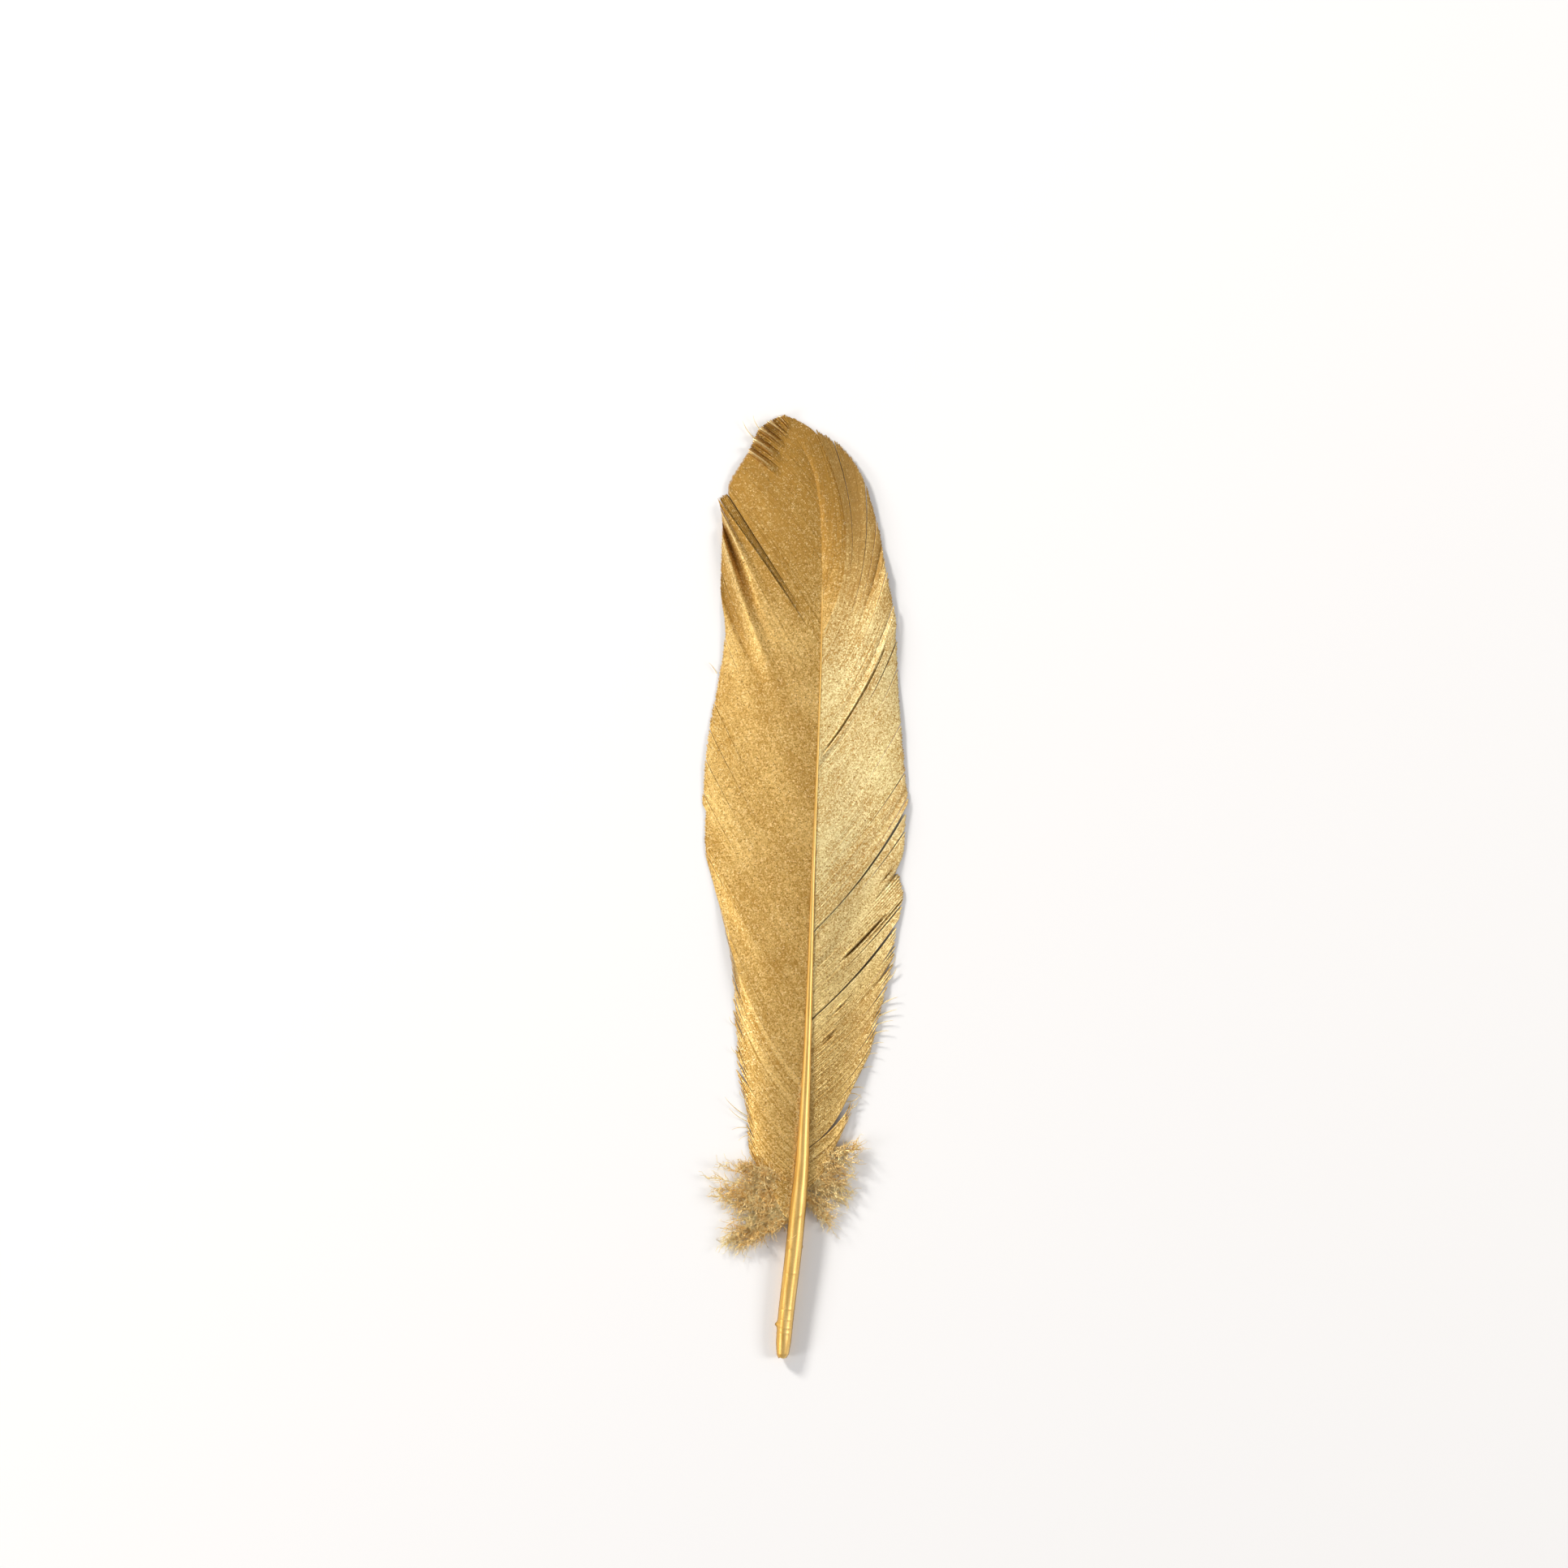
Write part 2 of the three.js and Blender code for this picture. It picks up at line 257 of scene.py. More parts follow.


# %% [markdown]
# ## The gold paint on the vanes
#
# Spray paint lands as fine drops with metal flakes in them. Close up, that is a deep gold with bright
# grains, each about a quarter of a millimetre wide, and dark pores where the paint didn't reach between
# the barbs. Random cells give the grains, with painted glints of the flakes on the brightest of them, and
# a slow noise lets the coat be thicker in some places than in others. A painted highlight makes the upper
# part of the right vane paler, where the light falls on it, so its lighter colour changes along the
# feather, and the paint is darker towards the tip. The barbs' own tone adds painted shade in splits and
# valleys and a painted highlight on ridges. Nothing here is a picture: every grain comes from the place
# on the feather.

# %% Paint on the vanes
GRAIN = 0.24 * MM
FINE_GRAIN = 0.13 * MM
GLINT_COLOUR = (1.0, 0.83, 0.47, 1)
PORE_COLOUR = (0.16, 0.08, 0.02, 1)
SHADED_COLOUR = (0.12, 0.055, 0.012, 1)
VANE_CLOUD = 7 * MM
GRAIN_RELIEF = 0.05 * MM
# Places along the feather where the painted highlight on the right vane rises and fades, and where the
# paint darkens towards the tip.
PAINTED_HIGHLIGHT_RISES = (-35 * MM, 5 * MM)
PAINTED_HIGHLIGHT_FADES = (64 * MM, 42 * MM)
TIP_DARKENS = (45 * MM, 72 * MM)


def vane_paint(name, deep, light, pale, sparkle):
    """Grained gold, with the barbs' painted shade in splits and valleys and painted highlight on ridges."""
    finish = Finish(name, Metallic=0.95)
    coarse = finish.grains(GRAIN)
    fine = finish.grains(FINE_GRAIN, channel=1)
    cloud = finish.cloud(VANE_CLOUD, detail=5.0)
    own = finish.attribute("tone")
    tone = 0.7 * coarse + 0.7 * fine + 0.8 * (cloud - 0.5) + own - 0.32
    pore = (coarse * 0.6 + fine * 0.4).between(0.12, 0.05)
    glint = (coarse * 0.5 + fine * 0.5).between(0.76, 0.88)
    along = finish.node("ShaderNodeSeparateXYZ", None, {0: finish.place}, out=1)
    # Painted highlight: share of the pale gold, which on the right vane stands for the light falling on it.
    thin = along.between(*PAINTED_HIGHLIGHT_RISES) * along.between(*PAINTED_HIGHLIGHT_FADES)
    light = finish.blend(thin, light, pale)
    tone = tone - 0.64 * along.between(*TIP_DARKENS)
    base = finish.blend(tone.between(0.0, 0.85), deep, light)
    # Painted shade in splits, valleys and the slit, from the barbs' tone.
    base = finish.blend(own.between(-0.25, -1.0), base, SHADED_COLOUR)
    # Painted highlight on the ridges of the folds and the frill.
    base = finish.blend(own.between(0.35, 0.9) * 0.8, base, GLINT_COLOUR)
    base = finish.blend(pore * 0.8, base, PORE_COLOUR)
    base = finish.blend(glint * sparkle, base, GLINT_COLOUR)
    rough = 0.42 - 0.14 * glint + 0.14 * pore
    bump = finish.relief(coarse * 0.5 + fine * 0.5, GRAIN_RELIEF, 0.8 * sparkle)
    return finish.wear(Base_Color=base, Roughness=rough, Normal=bump)


# Deep, light and pale gold of each vane, and how strongly its coat sparkles. The right vane's pale gold is
# its painted highlight; the left vane's pale gold is its light gold.
LEFT_GOLD = ((0.5, 0.27, 0.055, 1), (0.93, 0.65, 0.24, 1), (0.93, 0.65, 0.24, 1))
LEFT_SPARKLE = 0.75
RIGHT_GOLD = ((0.45, 0.26, 0.07, 1), (0.89, 0.66, 0.26, 1), (0.79, 0.7, 0.38, 1))
RIGHT_SPARKLE = 0.45
left_paint = vane_paint("gold_on_left_vane", *LEFT_GOLD, LEFT_SPARKLE)
right_paint = vane_paint("gold_on_right_vane", *RIGHT_GOLD, RIGHT_SPARKLE)
print("vane paints:", left_paint.name, right_paint.name)

# %% [markdown]
# ## The gold paint on the quill
#
# On the smooth horn of the quill the same paint lies as a closed satin coat, with long faint streaks along
# the quill where it ran, and without the grain that it has on the vanes. Painted shade makes it brown along
# both sides, where the tube turns down, and deeper on its left, which dims the key light's highlight
# there. How far aside a place is comes with the shaft's own mesh.

# %% Paint on the quill
QUILL_DEEP_GOLD = (0.72, 0.42, 0.1, 1)
QUILL_LIGHT_GOLD = (0.98, 0.7, 0.27, 1)
QUILL_SIDE_PAINTED_SHADE = (0.2, 0.1, 0.025, 1)
STREAK_WIDTH = 0.5 * MM
STREAK_SQUEEZE = (1, 0.06, 1)
STREAK_RELIEF = 0.03 * MM
QUILL_DROP = 0.2 * MM


def quill_paint():
    finish = Finish("gold_on_quill", Metallic=0.8)
    aside = finish.attribute("aside")
    stretched = finish.node("ShaderNodeMapping", None, {0: finish.place, 3: STREAK_SQUEEZE})
    streak = finish.cloud(STREAK_WIDTH, detail=3.0, place=stretched)
    tone = streak * 0.8 + finish.grains(QUILL_DROP) * 0.12
    # Painted shade: deeper on the quill's left, so the key light's highlight there is dimmer.
    tone = tone - aside.between(0.15, -0.7) * 0.3
    base = finish.blend(tone.between(0.2, 0.7), QUILL_DEEP_GOLD, QUILL_LIGHT_GOLD)
    # Painted shade: brown along both sides, where the tube turns down.
    side = aside.between(0.84, 0.99) + aside.between(-0.88, -1.0)
    base = finish.blend(side * 0.8, base, QUILL_SIDE_PAINTED_SHADE)
    bump = finish.relief(streak, STREAK_RELIEF, 0.5)
    return finish.wear(Base_Color=base, Roughness=0.36 + 0.14 * streak, Normal=bump)


quill_gold = quill_paint()

# %% [markdown]
# ## The gold paint on the down
#
# The down only caught the spray on its outside. Some of its hairs are bright gold and others deeper
# and browner, and the coat is too thin to glitter.

# %% Paint on the down
DOWN_DEEP_GOLD = (0.95, 0.61, 0.19, 1)
DOWN_BRIGHT_GOLD = (1.0, 0.87, 0.5, 1)
DOWN_DROP = 0.35 * MM
DOWN_CLOUD = 4 * MM


def down_paint():
    finish = Finish("gold_on_down", Metallic=0.7)
    drop = finish.grains(DOWN_DROP)
    tone = drop * 0.6 + (finish.cloud(DOWN_CLOUD, detail=3.0) - 0.5) * 1.2 + 0.2
    base = finish.blend(tone.between(0.0, 0.8), DOWN_DEEP_GOLD, DOWN_BRIGHT_GOLD)
    return finish.wear(Base_Color=base, Roughness=0.3 + 0.2 * drop)


down_gold = down_paint()

# %% [markdown]
# ## The floor's finish
#
# The floor is plain and pale. It only catches the feather's shadow.

# %% Finish of the floor
GROUND_CLOUD = 0.3
GROUND_COLOURS = ((0.86, 0.855, 0.86, 1), (0.9, 0.895, 0.9, 1))


def ground_finish():
    finish = Finish("pale_ground", Roughness=0.75)
    base = finish.blend(finish.cloud(GROUND_CLOUD, detail=2.0), *GROUND_COLOURS)
    return finish.wear(Base_Color=base)


floor.data.materials.append(ground_finish())

# %% [markdown]
# ## The shaft's line
#
# Everything grows from the shaft, so its line comes first: where it runs, how high it arches above the
# ground, and how thick it is. A smooth curve through a few stations gives any place between them.

# %% The line of the shaft
QUILL_END = -85.0
SHAFT_END = 79.6
# Along the feather, across, height of the middle, half width, in millimetres.
SHAFT = np.array([
    (QUILL_END, -4.15, 1.5, 0.75), (-84.3, -4.1, 1.5, 1.1), (-82, -3.95, 1.52, 1.38),
    (-77, -3.5, 1.64, 1.46), (-66, -2.2, 1.95, 1.52), (-57, -1.3, 2.3, 1.5), (-50, -0.65, 2.65, 1.24),
    (-42, -0.25, 3.15, 0.99), (-30, 0.3, 3.9, 0.71), (-14, 0.85, 4.75, 0.5), (2, 1.35, 5.2, 0.35),
    (24, 2.2, 5.1, 0.21), (43, 2.85, 4.3, 0.16), (57, 3.0, 3.3, 0.13), (67, 2.7, 2.4, 0.12),
    (74, 1.6, 1.6, 0.11), (SHAFT_END, -1.1, 1.0, 0.1),
])


def smooth_through(points, place):
    """Points on a smooth curve through given points, at places from 0 to 1 spread evenly over them."""
    points = np.asarray(points, float)
    first = 2 * points[:1] - points[1:2]
    last = 2 * points[-1:] - points[-2:-1]
    padded = np.vstack([first, points, last])
    spot = np.clip(np.atleast_1d(place), 0, 1) * (len(points) - 1)
    index = np.minimum(spot.astype(int), len(points) - 2)
    share = (spot - index)[:, None]
    p0, p1, p2, p3 = (padded[index + step] for step in range(4))
    gaps = [np.sqrt(np.linalg.norm(b - a, axis=1))[:, None] for a, b in ((p0, p1), (p1, p2), (p2, p3))]
    d0, d1, d2 = (np.maximum(gap, 1e-4) for gap in gaps)
    leave = ((p1 - p0) / d0 - (p2 - p0) / (d0 + d1) + (p2 - p1) / d1) * d1
    arrive = ((p2 - p1) / d1 - (p3 - p1) / (d1 + d2) + (p3 - p2) / d2) * d1
    cubic = 2 * p1 - 2 * p2 + leave + arrive
    square = -3 * p1 + 3 * p2 - 2 * leave - arrive
    return p1 + leave * share + square * share**2 + cubic * share**3


LINE_POINTS = 1200
fine_line = smooth_through(SHAFT[:, [1, 0, 2]], np.linspace(0, 1, LINE_POINTS))


def shaft_point(along):
    """Across, along and height of the shaft's middle, in millimetres."""
    return np.stack([np.interp(along, fine_line[:, 1], fine_line[:, axis]) for axis in range(3)], axis=-1)


def shaft_half_width(along):
    """Half the thickness of the shaft seen from above, in millimetres."""
    return np.interp(along, SHAFT[:, 0], SHAFT[:, 3])


def read_off(table, place):
    """Value at a place, read off rows of place and value in ascending order."""
    table = np.asarray(table, float)
    return np.interp(place, table[:, 0], table[:, 1])


print("shaft length in mm:", round(float(np.linalg.norm(np.diff(fine_line, axis=0), axis=1).sum()), 1))

# %% [markdown]
# ## Skinning a path
#
# Barbs, hairs of down and frayed ends are all thin bodies that follow a path. Python works out the paths
# and writes how wide each is at every point. One Geometry Nodes tree then sweeps a small many-sided
# blade along all of them at once. Its inputs are the number of sides and how flat the blade is.

# %% Opening and closing a tree


def open_tree(name, inputs):
    """A new Geometry Nodes tree with named inputs, and a wire from each."""
    tree = bpy.data.node_groups.new(name, "GeometryNodeTree")
    tree.interface.new_socket("Geometry", in_out="OUTPUT", socket_type="NodeSocketGeometry")
    for label, kind in inputs.items():
        tree.interface.new_socket(label, in_out="INPUT", socket_type="NodeSocket" + kind)
    graph = Graph(tree)
    given = tree.nodes.new("NodeGroupInput")
    return graph, [Wire(graph, given.outputs[index]) for index in range(len(inputs))]


def close_tree(graph, skin, paint):
    """The end of a tree: a smooth, real and painted mesh."""
    skin = graph.geometry("SetShadeSmooth", {"Geometry": skin, "Shade Smooth": True})
    skin = graph.geometry("RealizeInstances", {0: skin})
    skin = graph.geometry("SetMaterial", {"Geometry": skin, "Material": paint})
    graph.node("NodeGroupOutput", None, {0: skin})
    return graph.tree


def grown(name, paths, tree, inputs, **values):
    """Mesh that a tree grows on paths given in millimetres. Each value has one list entry a path."""
    counts = [len(path) for path in paths]
    starts = np.cumsum([0, *counts[:-1]])
    edges = [(start + i, start + i + 1) for start, count in zip(starts, counts) for i in range(count - 1)]
    lines = bpy.data.meshes.new(name + "_paths")
    lines.from_pydata(np.vstack(paths) * MM, edges, [])
    for label, listed in values.items():
        rows = np.concatenate(listed).astype(np.float32)
        kind, field = ("FLOAT", "value") if rows.ndim == 1 else ("FLOAT_VECTOR", "vector")
        lines.attributes.new(label, kind, "POINT").data.foreach_set(field, rows.ravel())
    guide = bpy.data.objects.new(name + "_paths", lines)
    bpy.context.collection.objects.link(guide)
    grow = guide.modifiers.new("grow", "NODES")
    grow.node_group = tree
    for item in tree.interface.items_tree:
        if item.in_out == "INPUT" and item.name in inputs:
            grow[item.identifier] = inputs[item.name]
    graph = bpy.context.evaluated_depsgraph_get()
    skin = bpy.data.meshes.new_from_object(guide.evaluated_get(graph), depsgraph=graph)
    bpy.data.objects.remove(guide)
    bpy.data.meshes.remove(lines)
    return skin


def triangle_count(mesh):
    return sum(len(polygon.vertices) - 2 for polygon in mesh.polygons)


# %% The tree that skins paths


def skin_tree():
    inputs = {"Paths": "Geometry", "Sides": "Int", "Flatness": "Float", "Paint": "Material"}
    graph, (paths, sides, flatness, paint) = open_tree("skin_paths", inputs)
    width = graph.named("half_width")
    across = graph.named("across", "FLOAT_VECTOR")
    curve = graph.geometry("MeshToCurve", {0: paths})
    curve = graph.geometry("SetCurveNormal", {"Curve": curve, "Normal": across}, mode="FREE")
    blade = graph.geometry("CurvePrimitiveCircle", {"Resolution": sides, "Radius": 1.0})
    flat = graph.node("ShaderNodeCombineXYZ", None, {0: 1.0, 1: flatness, 2: 1.0})
    blade = graph.geometry("Transform", {"Geometry": blade, "Scale": flat})
    sockets = {"Curve": curve, "Profile Curve": blade, "Scale": width, "Fill Caps": True}
    return close_tree(graph, graph.geometry("CurveToMesh", sockets), paint)


skin_paths = skin_tree()
# Nothing comes closer to the ground than this, in millimetres.
CLEAR_OF_GROUND = 0.02


def skinned(name, paths, widths, acrosses, tones, sides, flatness, paint):
    """One mesh object of closed blades along many paths. Paths and widths are in millimetres."""
    inputs = {"Sides": sides, "Flatness": flatness, "Paint": paint}
    half_widths = [width * MM for width in widths]
    skin = grown(name, paths, skin_paths, inputs, half_width=half_widths, across=acrosses, tone=tones)
    corners = np.empty(len(skin.vertices) * 3, np.float32)
    skin.vertices.foreach_get("co", corners)
    corners[2::3] = np.maximum(corners[2::3], CLEAR_OF_GROUND * MM)
    skin.vertices.foreach_set("co", corners)
    skin.name = name
    piece = bpy.data.objects.new(name, skin)
    bpy.context.collection.objects.link(piece)
    print(name, "paths:", len(paths), "triangles:", triangle_count(skin))
    return piece


# %% [markdown]
# ## The rule that a barb follows
#
# A barb leaves the shaft at an angle, thirty degrees near the tip and sixty near the quill, and bends up
# towards the tip until it ends at the vane's edge. It is a curve with one bend in it. The vane is given as
# stretches between its splits, each with a few measured barbs, and the barbs between are worked out.

# %% Angles and stretches of the vanes
# Along the shaft in millimetres, then the angle in degrees.
LEFT_ANGLE = [(-60, 58), (-45, 46), (-30, 36), (45, 32), (80, 26)]
RIGHT_ANGLE = [(-56, 62), (-30, 50), (0, 44), (20, 40), (45, 31), (66, 10), (80, -24)]

# A stretch: how high its edge stands off the ground at its first and its last barb, how far its middle
# sinks, and its measured barbs as root along the shaft, tip across and tip along. Where they differ from
# the usual, it also has: inset, how far its barbs start from the shaft's middle, as a share of the shaft's
# half width. locks, the fewest and most barbs in a small lock. crack, how wide the cracks between locks
# are. streak, how much its barbs differ in tone. edge_tone, the painted shade at its first and last
# barbs. fray, how loose its ends are.
LEFT_CROWN = [
    dict(name="crown", inset=-1.6, lift=(0.15, 0.5), barbs=[
        (79.3, -3.9, 85), (75.5, -6.2, 84), (70.5, -8.6, 82.2), (64.5, -10.4, 78.6), (56, -12.4, 75.3),
        (50, -13.7, 73.2), (43.4, -14.1, 70.8),
    ]),
]
LEFT_VANE = [
    dict(name="strip in the slit", lift=(0, 0), sink=0.9, edge_tone=-0.55, barbs=[
        (43.9, -14.2, 70.6), (41.4, -15.6, 69.6),
    ]),
    dict(name="shoulder", lift=(0.35, 0), barbs=[
        (42.6, -15.8, 69.9), (34, -15.1, 67), (25, -15, 63), (20, -15.3, 53.5), (14, -14.5, 46),
        (6, -15.7, 37), (-3, -17.3, 28.5), (-10, -18.2, 21.5), (-16.4, -18.6, 14.5),
    ]),
    dict(name="belly", lift=(0, 0.35), barbs=[
        (-15.9, -18.1, 13.7), (-23, -18.1, 6.5), (-29, -16.6, 0.4), (-35.5, -15.1, -5.1),
    ]),
    dict(name="foot", lift=(0, 0), streak=0.16, fray=0.35, barbs=[
        (-34.2, -14.6, -7.4), (-38, -13.3, -14), (-43, -12.6, -25), (-48, -12.1, -34), (-52.5, -10.8, -40),
        (-57.2, -9.9, -48.6), (-58.6, -8.3, -51.8), (-60.2, -5.6, -55.8),
    ]),
]
RIGHT_CROWN = [
    dict(name="crown", inset=-1.6, lift=(0.15, 0.3), barbs=[
        (79.3, -3.9, 85), (72, -2.4, 84.4), (62, 0.2, 83), (43.4, 2.3, 81.3),
    ]),
]
RIGHT_VANE = [
    dict(name="shoulder", lift=(0.4, 0.6), barbs=[
        (45.8, 1.9, 82.2), (41.5, 6.6, 79), (39, 10, 74.3), (36, 13, 65), (30, 14.8, 55.5),
        (21.2, 16.6, 46.8),
    ]),
    dict(name="middle", lift=(0, 0.3), barbs=[
        (23.5, 16.2, 47.5), (13, 16.6, 36.5), (1, 17.8, 22), (-8.4, 18.6, 14.8),
    ]),
    dict(name="split lock above the notch", crack=0.1, locks=(6, 14), lift=(0.2, 0), barbs=[
        (-8.5, 18, 13.1), (-12, 17.6, 6), (-15.6, 16.2, 2.3),
    ]),
    dict(name="split lock below the notch", crack=0.12, locks=(5, 12), lift=(0, 0.25), barbs=[
        (-14.2, 16.5, 2.2), (-16.2, 17.3, 0.3), (-19, 17.5, -2), (-24.1, 16.9, -6.2),
    ]),
    dict(name="belly", lift=(0, 0.2), crack=0.09, locks=(5, 16), streak=0.08, fray=0.28, barbs=[
        (-24.4, 16.5, -7.2), (-31, 15.4, -15), (-37, 13.6, -22.5), (-42, 11.6, -30), (-47.2, 7.6, -37.8),
    ]),
    dict(name="foot", lift=(0, 0.3), streak=0.18, fray=1.3, barbs=[
        (-47.4, 8.9, -38.2), (-50, 8.0, -41.5), (-52.5, 6.3, -44.6), (-54.5, 4.6, -48.6),
    ]),
]

# %% One barb
BARB_POINTS = 44
BARB_PITCH = 0.55
SHEET_HEIGHT = 0.2
DROP_POWER = 1.7
ROOT_INSET = 0.75


def barb_path(side, angles, root, tip, shares, inset):
    """Middle of a barb, in millimetres, for shares from 0 at the shaft to 1 at the tip."""
    start = shaft_point(root)
    start[0] += side * inset * shaft_half_width(root)
    angle = math.radians(read_off(angles, root))
    reach = math.hypot(tip[0] - start[0], tip[1] - start[1]) / 2
    bend = (start[0] + side * reach * math.sin(angle), start[1] + reach * math.cos(angle))
    flat = [
        (1 - shares) ** 2 * start[axis] + 2 * (1 - shares) * shares * bend[axis] + shares**2 * tip[axis]
        for axis in range(2)
    ]
    height = start[2] * (1 - shares**DROP_POWER) + SHEET_HEIGHT * shares
    return np.stack([*flat, height], axis=-1)


# %% [markdown]
# ## Folds, locks and cracks
#
# Real vanes are never one smooth sheet. The barbs hang together in small locks that lie a little higher
# or lower than the next one, and here and there the hooks have let go and a fine crack runs in from the
# edge. Bigger folds run along the barbs as well, a few splits open inside the vane without reaching the
# edge, and at the tip the edge is crimped into a short frill. All of this is a change of height and a
# small shift sideways. On the folds, the frill and the inner splits, painted shade also darkens the
# valleys and splits, and a painted highlight brightens the ridges.

# %% Folds, locks and cracks
# Side, root of the fold's barb, its width along the shaft, share of the barb where it starts, height.
FOLDS = [
    (-1, 35.5, 3.0, 0.35, 0.85), (-1, 29.5, 1.8, 0.3, -1.0), (-1, 25.0, 2.0, 0.25, 1.05),
    (-1, 20.5, 1.6, 0.3, -0.75), (-1, 14.0, 3.4, 0.2, 0.3), (-1, -8.0, 5.0, 0.3, 0.25),
    (-1, -27.0, 3.0, 0.3, -0.25), (-1, 57.0, 3.5, 0.3, 0.3), (1, 24.0, 1.2, 0.1, 0.3),
    (1, 38.5, 1.5, 0.3, 0.45), (1, 34.6, 0.8, 0.3, -0.45), (1, 31.0, 1.6, 0.3, 0.4),
    (1, -4.0, 1.2, 0.3, -0.25), (1, -19.4, 0.45, 0.3, -0.4), (1, -29.5, 0.7, 0.25, -0.35),
    (1, -35.5, 0.8, 0.3, -0.3), (1, 8.0, 3.5, 0.3, 0.25),
]
# Short inner splits that don't reach the edge. Side, root of the barb that has sunk, half its width along
# the shaft, the shares of the barb where the split starts and ends, and how deep it is.
INNER_SPLITS = [
    (1, 22.9, 0.4, 0.03, 0.85, 0.3), (1, -18.8, 0.28, 0.3, 0.82, 0.5), (1, -12.2, 0.3, 0.72, 0.9, 0.35),
    (1, -30.2, 0.3, 0.12, 0.3, 0.35), (1, -26.8, 0.28, 0.22, 0.42, 0.25),
]
SPLIT_RUN_OUT = 0.12
# The frill of the tip: roots of the barbs that it takes in, its wave along the shaft, the share of the
# barb where it starts, and its height.
FRILL_ROOTS = (63.5, 78.0)
FRILL_WAVE = 3.4
FRILL_START = 0.66
FRILL_HEIGHT = 0.65
# How much painted shade a valley, painted highlight a ridge, painted light and shade the frill, and
# painted shade an inner split add to the tone for each millimetre of height.
VALLEY_PAINTED_SHADE = 0.45
RIDGE_PAINTED_HIGHLIGHT = 0.6
FRILL_PAINTED_LIGHT = 0.9
SPLIT_PAINTED_SHADE = 1.4


def fold_height(side, root, shares):
    """Height that the folds add along one barb."""
    height = np.zeros_like(shares)
    for fold_side, middle, width, start, amount in FOLDS:
        if fold_side == side:
            rise = np.clip((shares - start) / (1 - start), 0, 1)
            height += amount * math.exp(-(((root - middle) / width) ** 2)) * np.sin(rise * math.pi / 2) ** 2
    return height


def inner_split_depth(side, root, shares):
    """How deep the inner splits sink one barb."""
    depth = np.zeros_like(shares)
    for split_side, middle, half, start, end, deepest in INNER_SPLITS:
        if split_side == side and abs(root - middle) < half:
            ends = np.minimum(shares - start, end - shares)
            depth += deepest * np.clip(ends / SPLIT_RUN_OUT, 0, 1)
    return depth


def frill_wave(side, root, shares):
    """The frill along one barb, from -1 in a valley to 1 on a ridge."""
    if side > 0 or not FRILL_ROOTS[0] < root < FRILL_ROOTS[1]:
        return np.zeros_like(shares)
    rise = np.clip((shares - FRILL_START) / (1 - FRILL_START), 0, 1)
    return math.sin(2 * math.pi * (root - FRILL_ROOTS[0]) / FRILL_WAVE) * rise**0.8


def small_locks(random, count, fewest, most):
    """For each barb, the number of its small lock and its place in it from -1 to 1."""
    numbers = np.zeros(count, int)
    places = np.zeros(count)
    start = 0
    number = 0
    while start < count:
        size = int(random.integers(fewest, most + 1))
        stop = min(start + size, count)
        numbers[start:stop] = number
        places[start:stop] = np.linspace(-1, 1, stop - start) if stop - start > 1 else 0
        start = stop
        number += 1
    return numbers, places


# %% [markdown]
# ## Growing a vane
#
# For every barb its path is worked out, and then its distance to the next barb at each point, because a
# barb has to be just wide enough to reach over its neighbour. The blade narrows to a blunt point at the
# very edge, which gives the vane its fine serration.

# %% Spreading and fraying barbs
STEPS_ALONG_EDGE = 600
FEWEST_BARBS = 4
# Share of the barb where fraying starts, and how far a loose end strays, rises, falls short and thins.
FRAY_START = 0.7
FRAY_POWER = 1.7
FRAY_STRAY = 0.55
FRAY_RISE = 0.8
FRAY_SHORT = (-0.4, 1.1)
FRAY_THINS = 0.45


def spread_barbs(measured):
    """Barbs between the measured ones, so close that neither roots nor tips are further apart than usual."""
    places = np.linspace(0, 1, STEPS_ALONG_EDGE)
    fine = smooth_through(measured, places)
    root_steps = np.abs(np.diff(fine[:, 0]))
    tip_steps = np.linalg.norm(np.diff(fine[:, 1:], axis=0), axis=1)
    walked = np.concatenate([[0], np.cumsum(np.maximum(root_steps, tip_steps))])
    count = max(int(round(walked[-1] / BARB_PITCH)), FEWEST_BARBS)
    even = np.interp(np.linspace(0, walked[-1], count + 1), walked, places)
    return smooth_through(measured, even), even


def frayed(path, forward, beside, shares, amount, random):
    """A barb whose end has come loose: it strays sideways, rises and falls short."""
    loose = np.clip((shares - FRAY_START) / (1 - FRAY_START), 0, 1) ** FRAY_POWER
    stray = random.normal(0, FRAY_STRAY * amount)
    rise = random.uniform(0, FRAY_RISE * amount)
    short = random.uniform(*FRAY_SHORT) * amount
    moved = path + beside * (loose * stray)[:, None] - forward * (loose * short)[:, None]
    moved[:, 2] += loose * rise
    return moved, 1 - FRAY_THINS * min(amount, 1) * loose


# %% Growing a vane
# How far a blade reaches over its neighbour as a share of the gap, and its narrowest and widest half.
OVERLAP = 0.64
NARROWEST = 0.05
WIDEST = 0.5
# Share of the barb in which its end narrows, and how narrow it gets.
TAPER_SHARE = 0.014
BLUNT_END = 0.3
# Share of the barb from which a split sinks and its painted shade begins.
SPLIT_START = 0.14
# The usual lock's fewest and most barbs, its reach past the edge, its tone, and how much it laps.
USUAL_LOCKS = (7, 22)
LOCK_REACH = 0.12
LOCK_TONE = 0.06
LOCK_LAP = 0.8
USUAL_STREAK = 0.05
UNEVEN_HEIGHT = 0.007
# A stretch's outer fifths on both sides count as its edge.
EDGE_OF_STRETCH = 0.6
LOWEST = 0.03
FLATTEST = 0.45


def neighbour_frame(base):
    """For each barb but the last: its forward direction, the direction to the next barb, and the gap."""
    forward = np.gradient(base[:-1], axis=1)
    forward /= np.linalg.norm(forward, axis=2, keepdims=True)
    beside = base[1:] - base[:-1]
    beside -= (beside * forward).sum(axis=2, keepdims=True) * forward
    gap = np.linalg.norm(beside, axis=2)
    beside /= np.maximum(gap, 1e-6)[..., None]
    return forward, beside, gap


